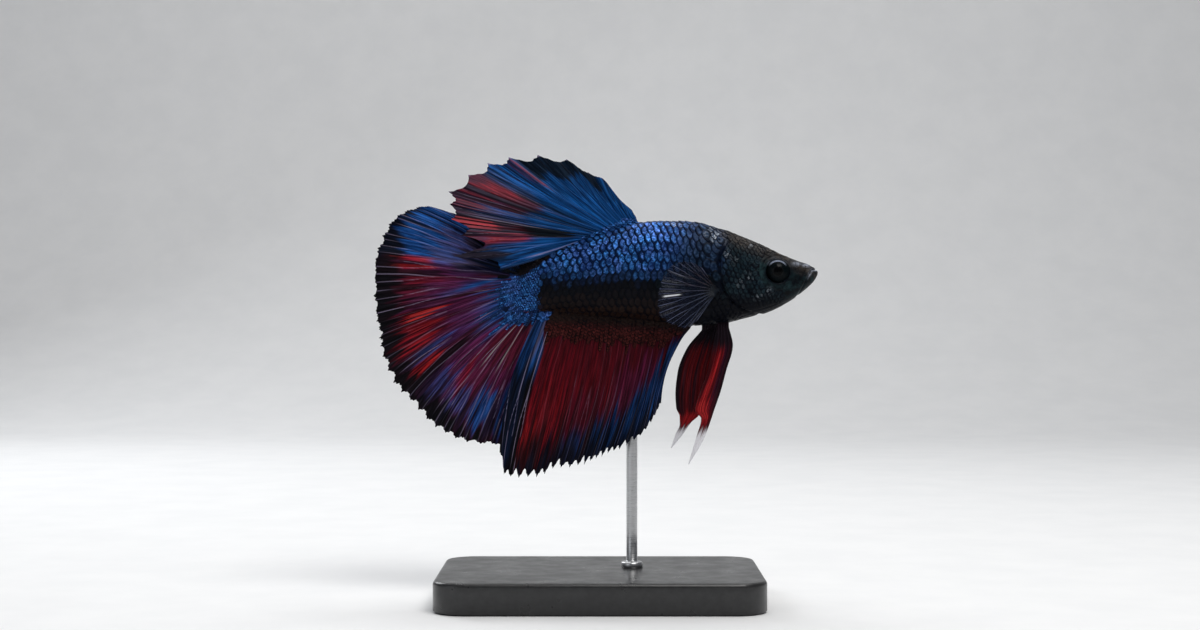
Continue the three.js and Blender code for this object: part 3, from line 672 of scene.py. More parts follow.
# ------------------------------------------------------------------ thin sheets (fins)
def sheet(mid, thick):
    """Closed plate over a grid of middle points with the given half thickness.
    Returns points, quads, and each quad corner's place on the fin's unwrap."""
    nu, nv = mid.shape[:2]
    du, dv = np.gradient(mid, axis=0), np.gradient(mid, axis=1)
    normal = unit(np.cross(du, dv))
    pts = np.concatenate([(mid + normal * thick[..., None]).reshape(-1, 3),
                          (mid - normal * thick[..., None]).reshape(-1, 3)])
    n = nu * nv
    front = grid_faces(nu, nv)
    back = front[:, ::-1] + n
    gu, gv = np.meshgrid(np.linspace(0, 1, nu), np.linspace(0, 1, nv), indexing="ij")
    a = np.stack([0.015 + 0.470 * gu, 0.015 + 0.970 * gv], -1).reshape(-1, 2)
    b = np.stack([0.515 + 0.470 * gu, 0.015 + 0.970 * gv], -1).reshape(-1, 2)
    place = np.concatenate([a, b])
    uv = [place[front], place[back]]
    rims, out = [], 0.006
    rid = np.arange(n).reshape(nu, nv)
    for line, shift, turn in ((rid[:, 0], (0, -out), False), (rid[:, -1], (0, out), True),
                              (rid[0, :], (-out, 0), True), (rid[-1, :], (out, 0), False)):
        p, q = line[:-1], line[1:]
        s = np.array(shift)
        if turn:
            quad = np.stack([p, q, q + n, p + n], -1)
            loc = np.stack([a[p], a[q], a[q] + s, a[p] + s], 1)
        else:
            quad = np.stack([p, p + n, q + n, q], -1)
            loc = np.stack([a[p], a[p] + s, a[q] + s, a[q]], 1)
        rims.append(quad)
        uv.append(loc)
    return pts, np.concatenate([front, back] + rims)[:, ::-1], np.concatenate(uv)[:, ::-1].reshape(-1, 2), normal


def tent(p):
    """Distance from the middle of a cell, 0 to a half."""
    return np.abs(p - np.floor(p) - 0.5)


def between(x, a, b, s):
    return sm(a - s, a + s, x) * (1 - sm(b - s, b + s, x))


def patch(u, r, u0, u1, r0, r1, su=0.010, sr=0.07):
    return between(u, u0, u1, su) * between(r, r0, r1, sr)


DORSAL = dict(
    base=[(6.00, 61.50), (3.50, 60.70), (0.80, 59.80), (-2.60, 58.45)],
    edge=[(0.00, 5.18, 63.20, 0.02, 0.0), (0.09, 3.24, 64.95, 0.02, 0.2), (0.18, 0.32, 68.45, 0.02, 0.3),
          (0.27, -1.94, 69.35, 0.04, 0.3), (0.36, -5.50, 71.50, 0.07, 0.3), (0.46, -10.10, 72.10, 0.07, 0.3),
          (0.56, -14.90, 71.80, 0.07, 0.3), (0.64, -18.30, 70.80, 0.06, 0.3), (0.71, -21.50, 68.90, 0.06, 0.3),
          (0.78, -24.50, 66.10, 0.05, 0.3), (0.84, -24.45, 64.10, 0.04, 0.3), (0.89, -24.10, 61.65, 0.05, 0.2),
          (0.93, -22.60, 59.00, 0.16, 0.1), (0.96, -23.80, 55.60, 0.26, 0.18), (1.00, -16.30, 53.30, 0.10, 0.45)],
    spread=1, turn=1, tips=None, sharp=1.6)
CAUDAL = dict(
    base=[(-13.34, 54.20), (-13.36, 51.80), (-13.36, 49.00), (-12.30, 45.92), (-9.70, 46.10)],
    edge=[(0.00, -24.80, 62.90, 0.015, 1.5), (0.08, -28.70, 64.00, 0.020, 1.0), (0.16, -32.80, 62.60, 0.018, 0.6),
          (0.24, -35.60, 58.70, 0.016, 0.4), (0.32, -36.80, 53.20, 0.014, 0.2), (0.40, -36.50, 46.80, 0.014, 0.2),
          (0.48, -36.00, 43.20, 0.018, 0.4), (0.55, -35.70, 40.30, 0.026, 0.6), (0.62, -34.10, 35.80, 0.032, 0.9),
          (0.70, -31.10, 32.10, 0.034, 1.2), (0.80, -26.80, 27.90, 0.030, 0.9), (0.90, -21.70, 25.40, 0.025, 0.4),
          (1.00, -14.60, 24.60, 0.02, 0.0)],
    spread=1.35, turn=-1, tips=30, sharp=1.2)
ANAL = dict(
    base=[(-10.00, 46.00), (-2.60, 45.85), (4.00, 45.35), (10.00, 44.80), (14.60, 44.00)],
    edge=[(0.00, -16.20, 23.90, 0.03, -1.35), (0.05, -15.30, 20.10, 0.05, -0.9), (0.12, -13.20, 19.60, 0.05, -0.4),
          (0.20, -10.30, 19.90, 0.05, 0.0), (0.30, -7.10, 21.20, 0.055, 0.4), (0.40, -3.70, 21.50, 0.055, 0.7),
          (0.55, 0.00, 23.10, 0.05, 0.7), (0.68, 3.10, 24.40, 0.05, 0.5), (0.80, 6.50, 26.50, 0.045, 0.1),
          (0.90, 8.60, 29.20, 0.04, -0.5), (1.00, 9.90, 31.80, 0.03, -1.25)],
    spread=1, turn=1, tips=25, sharp=1.0)


def dorsal_lean(u, r):
    return -1.9 * sm(0.45, 0.95, u) * r ** 0.8 + 0.45 * np.sin(9 * u + 0.6) * r * r * (1 - 0.6 * u)


def caudal_lean(u, r):
    return (0.42 * sm(0.80, 1, u) * sm(0.0, 0.12, r) + 1.0 * np.maximum(r - 0.10, 0) ** 0.8
            + 1.05 * np.sin(2 * PI * (1.7 * u + 0.10)) * r * r * (1 - sm(0.8, 1, u)) + 0.5 * sm(0.80, 1, u) * r)


def anal_lean(u, r):
    return (-(0.5 + 0.9 * r ** 0.8) * (1 - sm(0, 0.25, u))
            + 0.75 * np.sin(2 * PI * (2.1 * u + 0.28)) * r * r * (0.55 + 0.45 * u) * sm(0, 0.3, u))


class Fin:
    """One unpaired fin: place p counts ray tips along it, v runs out to the edge."""

    def __init__(self, spec, lean, cell, shift, split1, split2, root, folds, seed):
        e = np.asarray(spec["edge"], float)
        self.at = e[:, 0] if spec["tips"] is None else np.linspace(0, 1, spec["tips"] + 1)
        self.last = len(self.at) - 1
        self.bx, self.bz = along(spec["base"])
        self.tx, self.tz, self.web, self.bow = [through(e[:, 0], e[:, k]) for k in (1, 2, 3, 4)]
        self.spec, self.lean, self.cell, self.shift = spec, lean, cell, shift
        self.split1, self.split2, self.root, self.folds, self.seed = split1, split2, root, folds, seed
        self.fringe = 1.0

    def u(self, p):
        return np.interp(p, np.arange(self.last + 1), self.at)

    def notch(self, p):
        i = np.clip(np.floor(p), 0, self.last - 1)
        part = p - i
        uneven = 1.0 if self.spec["tips"] is None else 0.75 + 0.5 * np.sin(2.3 * i + 0.7) ** 2
        mid = self.u(i + 0.5)
        deep = self.web(mid) * uneven * (1 - np.abs(2 * part - 1) ** self.spec["sharp"])
        # ragged fringe between the fine branches of the rays
        fine = np.abs(np.floor(4 * p) + 0.5 - 4 * p) * 2
        branch = np.floor(4 * p + 0.5)
        small = (1 - fine) * 0.012 + 0.016 * (rand(branch, self.seed) - 0.2) * fine
        return deep + self.fringe * np.maximum(small, 0)

    def middle(self, p, v, flat=False):
        """Middle surface, in millimetres. v below 0 runs into the body."""
        u = self.u(p)
        w = u ** self.spec["spread"]
        bx, bz, tx, tz = self.bx(w), self.bz(w), self.tx(u), self.tz(u)
        l = np.hypot(tx - bx, tz - bz)
        r = v * (1 - self.notch(p) * sm(0.3, 1.0, v))
        ro = np.maximum(r, 0)
        bow = 4 * self.bow(u) * ro * (1 - r) * self.spec["turn"]
        y = self.lean(u, ro)
        if not flat:
            k = sm(0.02, 0.55, ro)
            for count, size, phase in self.folds:
                y = y + size * k * np.sin(2 * PI * (count * u + phase) + 0.9 * np.sin(2.1 * ro + phase * 9))
        # the root narrows to nothing inside the body
        y = np.where(v < 0, y * np.clip(1 + v / self.root * 0.5, 0, 1), y)
        return np.stack([bx + (tx - bx) * r - (tz - bz) / l * bow, y, bz + (tz - bz) * r + (tx - bx) / l * bow], -1), u, r, l

    def rays(self, p, r):
        """Distance from the nearest ray, in cells, and the number of that branch."""
        t = (p + self.shift) / self.cell
        d = tent(t)
        branch = np.floor(t) * 8 + np.where(t - np.floor(t) > 0.5, 4, 0)
        d = d - 0.25 * sm(*self.split1, r)
        branch = branch + np.where(d > 0, 2, 0) * (sm(*self.split1, r) > 0)
        d = np.abs(d) - 0.125 * sm(*self.split2, r)
        branch = branch + np.where(d > 0, 1, 0) * (sm(*self.split2, r) > 0)
        return np.abs(d), branch

    def build(self, name, nu, nv, paint, ray_size=(0.13, 0.040), web=(0.075, 0.040), ray_width=(0.15, 0.085)):
        p = np.linspace(0, self.last, nu)[:, None]
        v = np.linspace(-self.root, 1, nv)[None, :]
        p, v = np.broadcast_arrays(p, v)
        mid, u, r, l = self.middle(p, v)
        ro = np.clip(r, 0, 1)
        width = np.linalg.norm(np.gradient(mid, axis=0), axis=-1) / (p[1, 0] - p[0, 0])
        d, branch = self.rays(p, ro)
        d = d * self.cell * width
        wr = ray_width[0] + (ray_width[1] - ray_width[0]) * ro
        ray = np.exp(-(d / wr) ** 2)
        # painted shadow along each side of a ray
        ray_shadow = np.exp(-((d - 2.1 * wr) / (0.85 * wr)) ** 2) * sm(0.02, 0.15, ro)
        edge_ray = np.maximum(np.exp(-(p * width / 0.22) ** 2), np.exp(-((self.last - p) * width / 0.22) ** 2))
        ray = np.maximum(ray, edge_ray)
        size = (ray_size[0] + (ray_size[1] - ray_size[0]) * ro ** 0.7)
        rim = 1 - 0.75 * sm(0.94, 1.0, v)
        thick = (web[0] + (web[1] - web[0]) * ro + size * ray) * rim
        # every second ray stands a little to the other side, as in a folded fan
        sway = 0.03 * np.sin(PI * (p + self.shift) / self.cell * 2) * sm(0.2, 0.9, ro)
        mid = mid + np.stack([0 * sway, sway, 0 * sway], -1)
        pts, quads, uv, _ = sheet(mid, thick)
        # the crest of a ray, bright on some branches and for some of their length
        crest = np.exp(-(d / (0.085 - 0.015 * ro)) ** 2) * sm(0.25, 0.85, rand(branch, self.seed + 3) + 0.9 * (noise(branch * 3.7, ro * 5.0, 0, self.seed + 4) - 0.5))
        fields = dict(paint(u, ro, p, ray, crest, self.seed), ray=ray, ray_shadow=ray_shadow, place=p, out=ro * l)
        fields = {k: np.tile(np.clip(f, -1e3, 1e3).ravel(), 2) for k, f in
                  ((k, np.broadcast_to(f, p.shape)) for k, f in fields.items())}
        ob = make(name, pts, quads=quads, fields=fields, uv=uv)
        return ob


class Brush:
    """Patches of pigment on a fin, given by where they lie along it (u) and out from
    its base (r), with ends that run out in points along the rays."""

    def __init__(self, u, r, p, crest, seed, ragged=0.20, thin=5.0):
        self.u, self.r, self.p, self.lines = u, r, p, crest
        self.hair = noise(p * thin, r * 1.0, 0, seed + 9)
        self.wisp = noise(p * thin * 0.45, r * 0.9, 0, seed + 21)
        a = noise(p * thin * 0.36, r * 0.8, 0, seed) - 0.5
        c = noise(p * 0.5, r * 2.0, 0, seed + 5) - 0.5
        self.us = u + 0.010 * c
        self.rs = r + ragged * (a + 0.7 * (self.hair - 0.5) + 0.5 * (self.wisp - 0.5))

    def __call__(self, *rows):
        """Largest of some patches: (u from, u to, r from, r to, strength, softness in u)."""
        out = np.zeros(np.broadcast(self.u, self.r).shape)
        for u0, u1, r0, r1, k, soft in rows:
            out = np.maximum(out, k * between(self.us, u0, u1, soft) * between(self.rs, r0, r1, 0.05))
        return out


def paint_caudal(u, r, p, ray, crest, seed):
    b = Brush(u, r, p, crest, seed, 0.22, 5.0)
    hair, wisp, lines = b.hair, b.wisp, b.lines
    broken = sm(0.15, 0.45, hair)
    band = np.interp(r, [0, 0.05, 0.1, 0.2, 0.3, 0.4, 0.5, 0.6, 0.8], [0.305, 0.318, 0.335, 0.355, 0.372, 0.385, 0.395, 0.402, 0.410])
    blue = b((-0.2, 0.285, 0.42, 1.3, 1.0, 0.012)) * (0.40 + 0.60 * broken)
    blue = np.maximum(blue, 0.50 * b((-0.2, 0.30, 0.05, 0.42, 1.0, 0.02)) * broken)
    blue = np.maximum(blue, 1.0 * bump(u, band, 0.0150) * between(b.rs, -0.3, 0.60, 0.10))
    root = np.maximum(0.95 * between(u, 0.36, 0.52, 0.01) * (1 - sm(0.12, 0.34, b.rs * 0.7 + r * 0.3)),
                      0.95 * between(u, 0.53, 0.76, 0.01) * (1 - sm(0.12, 0.38, b.rs * 0.7 + r * 0.3))) * (0.25 + 0.75 * broken)
    blue = np.maximum(blue, root)
    blue = np.maximum(blue, b((0.605, 0.640, 0.52, 0.80, 0.60, 0.006), (0.700, 0.765, 0.62, 0.90, 0.55, 0.010),
                              (0.780, 0.870, 0.72, 0.94, 0.50, 0.020), (0.865, 0.985, 0.60, 0.90, 0.90, 0.015),
                              (0.965, 1.10, 0.30, 1.20, 0.70, 0.010)) * (0.25 + 0.75 * broken))
    maroon = b((0.27, 1.3, -0.4, 0.98, 0.95, 0.010))
    purple = b((0.14, 0.285, 0.30, 0.58, 0.95, 0.02), (0.270, 0.312, 0.50, 0.95, 0.75, 0.006), (0.28, 0.335, 0.25, 0.66, 0.80, 0.01), (0.345, 0.405, 0.30, 0.70, 0.75, 0.01), (0.385, 0.435, 0.55, 0.85, 0.50, 0.01),
               (0.595, 0.655, 0.15, 0.60, 0.95, 0.008), (0.700, 0.760, 0.20, 0.80, 0.80, 0.010), (0.50, 0.60, 0.15, 0.5, 0.62, 0.01), (0.425, 0.515, 0.18, 0.60, 0.50, 0.012),
               (0.855, 0.980, 0.40, 0.80, 0.60, 0.015), (0.76, 0.86, 0.35, 0.8, 0.40, 0.02)) * (0.45 + 0.65 * wisp)
    red = b((0.272, 0.310, 0.58, 0.90, 0.62, 0.006), (0.334, 0.355, 0.58, 0.85, 0.12, 0.005), (0.440, 0.500, 0.60, 0.84, 1.00, 0.008),
            (0.505, 0.600, 0.60, 0.88, 0.38, 0.010), (0.645, 0.676, 0.64, 0.90, 0.60, 0.005), (0.765, 0.800, 0.52, 0.74, 0.22, 0.01))
    red = red * (0.38 + 0.92 * sm(0.15, 0.60, hair))
    red = np.maximum(red, 1.15 * b((0.458, 0.492, 0.64, 0.80, 1.0, 0.006)) * sm(0.1, 0.4, hair))
    crimson = np.clip(0.8 * red + b((0.30, 0.60, 0.45, 0.92, 0.45, 0.015), (0.40, 0.56, 0.12, 0.5, 0.35, 0.02),
                                    (0.70, 0.95, 0.08, 0.62, 0.50, 0.02), (0.80, 0.86, 0.05, 0.72, 0.55, 0.01)) * (0.3 + 0.7 * wisp), 0, 1) * (1 - 0.85 * root)
    width = np.interp(u, [0, 0.12, 0.2, 0.28, 0.32, 0.5, 0.62, 0.68, 0.74, 0.85, 1.0], [0.98, 0.97, 0.93, 0.86, 0.84, 0.84, 0.86, 0.80, 0.83, 0.91, 0.98])
    dark = 0.97 * sm(width - 0.05, width + 0.04, r + 0.15 * (hair - 0.5) + 0.12 * (wisp - 0.5))
    dark = np.maximum(dark, b((0.0, 0.315, -0.2, 0.44, 0.78, 0.02), (0.676, 0.702, 0.32, 1.2, 0.90, 0.004),
                              (0.405, 0.425, 0.25, 1.0, 0.55, 0.004), (0.314, 0.334, 0.50, 1.0, 0.80, 0.004),
                              (0.605, 0.620, 0.66, 1.1, 0.60, 0.004), (0.52, 0.535, 0.1, 0.55, 0.5, 0.005), (0.655, 0.668, 0.05, 0.5, 0.5, 0.005)))
    dark = np.maximum(dark, b((0.90, 1.2, -0.2, 0.06, 0.9, 0.01)))
    # black between the rays, more so toward the margin
    dark = np.maximum(dark, (0.18 + 0.60 * sm(0.35, 0.85, r)) * sm(0.56, 0.74, 1 - hair))
    pale = lines * (b((-0.2, 0.29, 0.42, 1.4, 0.38, 0.01), (-0.2, 0.22, 0.80, 1.4, 0.55, 0.01), (0.29, 0.43, 0.20, 1.4, 0.50, 0.01), (0.43, 0.60, 0.10, 1.4, 0.32, 0.01), (0.46, 0.60, 0.08, 0.55, 0.48, 0.01),
                      (0.60, 0.74, 0.10, 1.4, 0.66, 0.01), (0.74, 1.2, 0.04, 1.4, 0.58, 0.01))) * (0.4 + 0.8 * wisp)
    white = np.zeros(np.broadcast(p, r).shape)
    for at in (24.5, 26.5):
        white = np.maximum(white, 0.30 * bump(p, at, 0.09) * between(r, 0.05, 0.42, 0.08))
    violet = b((0.12, 0.285, 0.34, 0.66, 1.0, 0.02), (0.385, 0.41, 0.3, 0.55, 0.6, 0.006)) * (0.3 + 0.7 * wisp)
    blue = blue * (1 - 0.45 * violet)
    purple = np.maximum(purple, violet)
    pale = np.maximum(pale, 0.16 * violet * hair)
    return dict(blue=blue, maroon=maroon, purple=purple, red=red, crimson=crimson, dark=dark, pale=pale, white=white)


def paint_dorsal(u, r, p, ray, crest, seed):
    b = Brush(u, r, p, crest, seed, 0.18, 9.0)
    hair, wisp, lines = b.hair, b.wisp, b.lines
    broken = sm(0.12, 0.42, hair)
    blue = b((-0.2, 0.675, -0.4, 1.3, 1.0, 0.012), (0.66, 0.865, -0.4, 0.50, 0.90, 0.012), (0.795, 0.862, 0.30, 0.84, 0.85, 0.008),
             (0.60, 0.690, 0.2, 0.95, 1.0, 0.010), (0.865, 0.94, -0.3, 0.12, 0.7, 0.01), (0.935, 0.985, -0.4, 0.72, 1.0, 0.006), (0.975, 1.2, -0.4, 0.98, 1.0, 0.006)) * (0.66 + 0.34 * broken)
    maroon = b((0.66, 1.2, 0.50, 1.3, 0.75, 0.012))
    purple = b((0.54, 0.66, 0.62, 1.1, 0.45, 0.01), (0.75, 0.86, 0.66, 1.2, 0.40, 0.01), (0.915, 0.95, 0.5, 0.9, 0.5, 0.01), (0.955, 1.2, 0.70, 1.2, 0.25, 0.01)) * (0.3 + 0.8 * wisp)
    red = b((0.556, 0.590, 0.66, 1.00, 0.70, 0.006), (0.700, 0.736, 0.70, 0.95, 0.52, 0.005), (0.757, 0.785, 0.74, 1.10, 0.58, 0.005),
            (0.800, 0.850, 0.80, 1.12, 0.50, 0.005), (0.878, 0.912, 0.66, 1.10, 1.35, 0.003), (0.920, 0.944, 0.52, 0.84, 0.55, 0.004))
    red = red * (0.14 + 0.98 * sm(0.28, 0.60, hair))
    crimson = np.clip(0.8 * red + b((0.69, 0.75, 0.62, 1.2, 0.50, 0.02), (0.75, 0.86, 0.66, 1.2, 0.22, 0.01), (0.87, 0.95, 0.45, 1.2, 0.50, 0.01)) * wisp, 0, 1)
    dark = b((0.22, 0.565, 0.70, 1.3, 0.96, 0.035), (0.10, 0.58, 0.46, 1.3, 0.34, 0.06), (-0.2, 0.34, -0.4, 1.3, 0.16, 0.05), (0.60, 0.610, 0.5, 1.1, 0.50, 0.003), (0.662, 0.704, 0.16, 0.72, 0.68, 0.005),
             (0.738, 0.755, 0.05, 1.2, 0.85, 0.004), (0.757, 0.790, 0.05, 0.60, 0.50, 0.006), (0.842, 0.850, 0.4, 1.1, 0.5, 0.002), (0.75, 0.865, 0.72, 1.3, 0.42, 0.006),
             (0.862, 0.880, 0.04, 0.92, 0.85, 0.004), (0.907, 0.920, 0.25, 1.3, 0.90, 0.003), (0.950, 0.985, 0.66, 1.3, 0.90, 0.006), (0.98, 1.2, 0.90, 1.3, 0.80, 0.006),
             (0.790, 0.80, 0.3, 1.2, 0.55, 0.002), (0.946, 0.958, 0.62, 1.3, 0.6, 0.003))
    dark = np.maximum(dark, (0.14 + 0.35 * sm(0.5, 0.95, r) + 0.34 * sm(0.6, 0.8, u)) * sm(0.50, 0.70, 1 - hair))
    dusk = b((0.545, 0.60, 0.60, 1.2, 0.8, 0.01), (0.66, 0.955, 0.52, 1.3, 1.0, 0.03))
    dark = np.maximum(dark, 0.80 * dusk * sm(0.44, 0.62, 1 - wisp))
    pale = lines * (0.03 + 0.15 * sm(0.50, 0.80, u) * sm(0.1, 0.4, r)) + 0.85 * sm(0.974, 0.986, r) * (1 - sm(0.74, 0.80, u))
    pale = np.maximum(pale, 0.60 * bump(u, 0.990, 0.0020) * between(r, 0.02, 0.55, 0.1))
    dark = np.maximum(dark, 0.8 * sm(0.994, 0.998, u))
    pale = np.maximum(pale, 0.55 * bump(u, 0.866, 0.0022) * between(r, 0.35, 0.85, 0.1))
    pale = np.maximum(pale, lines * b((0.74, 0.95, 0.64, 1.3, 0.34, 0.01)))
    pale = np.maximum(pale, 0.115 * dusk * sm(0.35, 0.75, hair))
    return dict(blue=blue, maroon=maroon, purple=purple, red=red, crimson=crimson, dark=dark, pale=pale, white=0 * r * p)


def paint_anal(u, r, p, ray, crest, seed):
    b = Brush(u, r, p, crest, seed, 0.24, 6.0)
    hair, wisp, lines = b.hair, b.wisp, b.lines
    broken = sm(0.15, 0.48, hair)
    # crimson down to a slanting line, blue beyond it and along the front edge
    line = np.interp(u, [0, 0.10, 0.16, 0.22, 0.35, 0.55, 0.72, 0.85, 0.95, 1.0], [1.05, 1.00, 0.95, 0.86, 0.74, 0.66, 0.52, 0.34, 0.08, -0.05])
    inner = 1 - sm(line - 0.08, line + 0.09, b.rs)
    outer = 1 - inner
    streak = between(u, -0.2, 0.052 + 0.038 * sm(0.02, 0.24, r), 0.006)
    blue = outer * (0.20 + 0.80 * broken) * (0.40 + 0.22 * sm(0.20, 0.60, u) + 0.30 * between(u, 0.76, 0.92, 0.04) * between(r, 0.55, 0.92, 0.08)) * (1 - streak)
    blue = np.maximum(blue, 0.95 * sm(0.86, 0.95, b.us + 0.04 * (r - 0.5)) * sm(0.08, 0.3, r) * (0.5 + 0.5 * broken))
    blue = np.maximum(blue, 1.00 * streak * (1 - sm(0.26, 0.40, b.rs)) * (0.45 + 0.55 * broken))
    blue = np.maximum(blue, 0.55 * between(u, -0.2, 0.060, 0.008) * between(b.rs, 0.3, 0.95, 0.1) * broken)
    crimson = inner * (0.50 - 0.25 * sm(0.35, 0.80, u) + 0.30 * (wisp - 0.5)) * (1 - streak)
    maroon = np.maximum(0.9 * inner * (1 - streak), 0.5 * outer * (1 - sm(0.2, 0.5, u)))
    purple = inner * b((0.50, 0.90, 0.28, 0.80, 0.42, 0.03), (0.28, 0.45, 0.48, 0.80, 0.18, 0.02)) * (0.2 + 0.8 * wisp)
    red = b((0.086, 0.150, 0.74, 1.02, 0.62, 0.010), (0.086, 0.24, 0.50, 0.90, 0.16, 0.02)) * (0.15 + 0.85 * sm(0.25, 0.65, hair))
    dark = 0.66 * (1 - sm(0.00, 0.34, r + 0.06 * (hair - 0.5))) * (1 - streak)
    dark = np.maximum(dark, 0.94 * (1 - sm(0.004, 0.040, r)))
    dark = np.maximum(dark, 0.90 * sm(0.74, 0.94, b.rs) * (1 - 0.35 * lines))
    dark = np.maximum(dark, 0.80 * between(u, -0.2, 0.075, 0.006) * between(b.rs, 0.36, 1.3, 0.05) * (1 - 0.6 * lines))
    dark = np.maximum(dark, (0.30 + 0.55 * sm(0.45, 0.85, r)) * sm(0.46, 0.66, 1 - hair))
    dark = np.maximum(dark, 0.45 * outer * (1 - sm(0.25, 0.6, u)))
    dark = np.maximum(dark, 0.85 * bump(u, 0.045, 0.006) * between(r, 0.02, 0.4, 0.05))
    pale = lines * b((0.25, 0.98, 0.40, 1.0, 0.18, 0.02), (0.09, 0.98, 0.10, 1.1, 0.06, 0.01)) * (0.3 + 0.9 * wisp)
    pale = np.maximum(pale, lines * b((0.065, 0.105, 0.12, 0.95, 0.85, 0.004), (0.0, 0.07, 0.3, 0.9, 0.60, 0.004)))
    pale = np.maximum(pale, 0.17 * streak * (1 - sm(0.16, 0.30, b.rs)) * sm(0.3, 0.8, hair))
    return dict(blue=blue, maroon=maroon, purple=purple, red=red, crimson=crimson, dark=dark, pale=pale, white=0 * r * p)


# ------------------------------------------------------------------ paired fins
PELVIC_R = dict(top=43.95, tip=22.20, y=-1.15, splay=-1.70,
                edges=[(0.00, 20.75, 18.85), (0.13, 21.40, 18.20), (0.32, 20.30, 17.30), (0.47, 19.40, 16.10),
                       (0.60, 18.40, 15.30), (0.66, 17.95, 16.30), (0.80, 16.80, 15.50), (1.00, 14.30, 14.16)])
PELVIC_L = dict(top=43.95, tip=24.45, y=1.15, splay=1.90,
                edges=[(0.00, 19.30, 16.60), (0.16, 18.90, 14.10), (0.36, 18.00, 12.65), (0.54, 17.50, 12.30),
                       (0.66, 17.00, 12.45), (0.73, 16.10, 13.00), (0.79, 14.80, 13.05), (0.88, 13.60, 12.40),
                       (1.00, 11.75, 11.60)])


def pelvic(name, spec, near, material):
    e = np.asarray(spec["edges"], float)
    front, rear = through(e[:, 0], e[:, 1]), through(e[:, 0], e[:, 2])
    nv, ns = 190, 74
    v, s = np.meshgrid(np.linspace(-0.07, 1, nv), np.linspace(0, 1, ns), indexing="ij")
    vo = np.clip(v, 0, 1)
    x = rear(vo) + (front(vo) - rear(vo)) * s
    z = spec["top"] + (spec["tip"] - spec["top"]) * v + 0.5 * (s - 0.5) * (1 - vo)
    sgn = np.sign(spec["y"])
    y = spec["y"] + spec["splay"] * vo ** 1.2 + sgn * 0.35 * np.sin(PI * s) * (1 - vo) + sgn * 0.10 * np.sin(5 * PI * s) * between(vo, 0.1, 0.9, 0.1)
    y = y * np.where(v < 0, 1 + v * 4, 1)
    mid = np.stack([x, y, z], -1)
    count = 5.0
    t = s * count
    d = np.abs(tent(t + 0.5) - 0.22 * sm(0.25, 0.6, vo)) / count * (front(vo) - rear(vo))
    wr = 0.13 - 0.05 * vo
    ray = np.exp(-(d / wr) ** 2)
    wide = (front(vo) - rear(vo))
    ray = np.maximum(ray, np.exp(-((1 - s) * wide / 0.20) ** 2))
    # painted shadow along each side of a ray
    ray_shadow = np.exp(-((d - 2.0 * wr) / (0.8 * wr)) ** 2)
    border = np.minimum(s, 1 - s) * wide
    thick = (0.060 + (0.15 - 0.09 * vo) * ray + 0.10 * (1 - sm(0.0, 0.10, vo))) * (0.35 + 0.65 * sm(0, 0.22, border)) * (1 - 0.55 * sm(0.9, 1.0, v))
    pts, quads, uv, _ = sheet(mid, thick)
    hair = noise(s * 18, v * 2.0, 0, 31 if near else 41)
    vs = vo + 0.10 * (hair - 0.5)
    black = np.maximum(0.95 * (1 - sm(0.08, 0.20, vo + 0.06 * (hair - 0.5))), 0.45 * sm(0.60, 0.80, 1 - hair))
    if near:
        streak = 0.50 - 0.42 * vo
        red = 1.05 * bump(s, streak, 0.09 + 0.20 * vo ** 2) * between(vs, 0.12, 0.70, 0.06)
        red = np.maximum(red, 0.95 * patch(s, vs, 0.02, 0.70, 0.52, 0.70, 0.10, 0.05)) * (0.52 + 0.80 * hair)
        crimson = np.clip(0.70 * patch(s, vs, 0.10, 0.80, 0.12, 0.78, 0.12), 0, 1) * (0.4 + 0.7 * hair)
        dark = np.maximum(0.85 * bump(s, 0.78, 0.12) * between(vo, -0.1, 0.55, 0.12), 0.95 * sm(0.86, 0.95, s) * (1 - sm(0.5, 0.75, vo)))
        white = sm(0.72, 0.80, vs)
        purple = 0.5 * bump(s, 0.70, 0.08) * between(vo, 0.15, 0.6, 0.1)
    else:
        red = np.maximum(0.12 * hair * between(vs, 0.1, 0.8, 0.1), 0.70 * between(vs, 0.70, 0.80, 0.03))
        crimson = 0.34 * between(vs, 0.08, 0.82, 0.08) * (0.25 + 0.9 * hair)
        dark = 0.97 * (1 - sm(0.06, 0.18, s)) * (1 - sm(0.66, 0.74, vo))
        white = sm(0.80, 0.87, vs)
        purple = 0 * s
    dark = np.maximum(dark, black * (1 - white))
    fields = dict(blue=0.06 * dark, maroon=0 * s + (0.80 if near else 0.50), purple=purple, red=red, crimson=crimson, dark=dark * 0.95,
                  pale=0.015 * ray, white=0.97 * white, ray=ray, ray_shadow=ray_shadow * (1 - white), place=s * 8, out=vo * 21)
    fields = {k: np.tile(np.broadcast_to(f, s.shape).ravel(), 2) for k, f in fields.items()}
    ob = make(name, pts, quads=quads, fields=fields, uv=uv)
    ob.data.materials.append(material)
    return ob


PECTORAL = dict(root=(18.15, 50.05), half=1.1, y=4.72, swing=0.52,
                rays=[(-56, 4.4), (-52, 6.4), (-36, 8.2), (-22, 9.4), (-7, 8.9), (8, 8.4), (28, 7.4), (45, 5.3), (56, 3.1)])


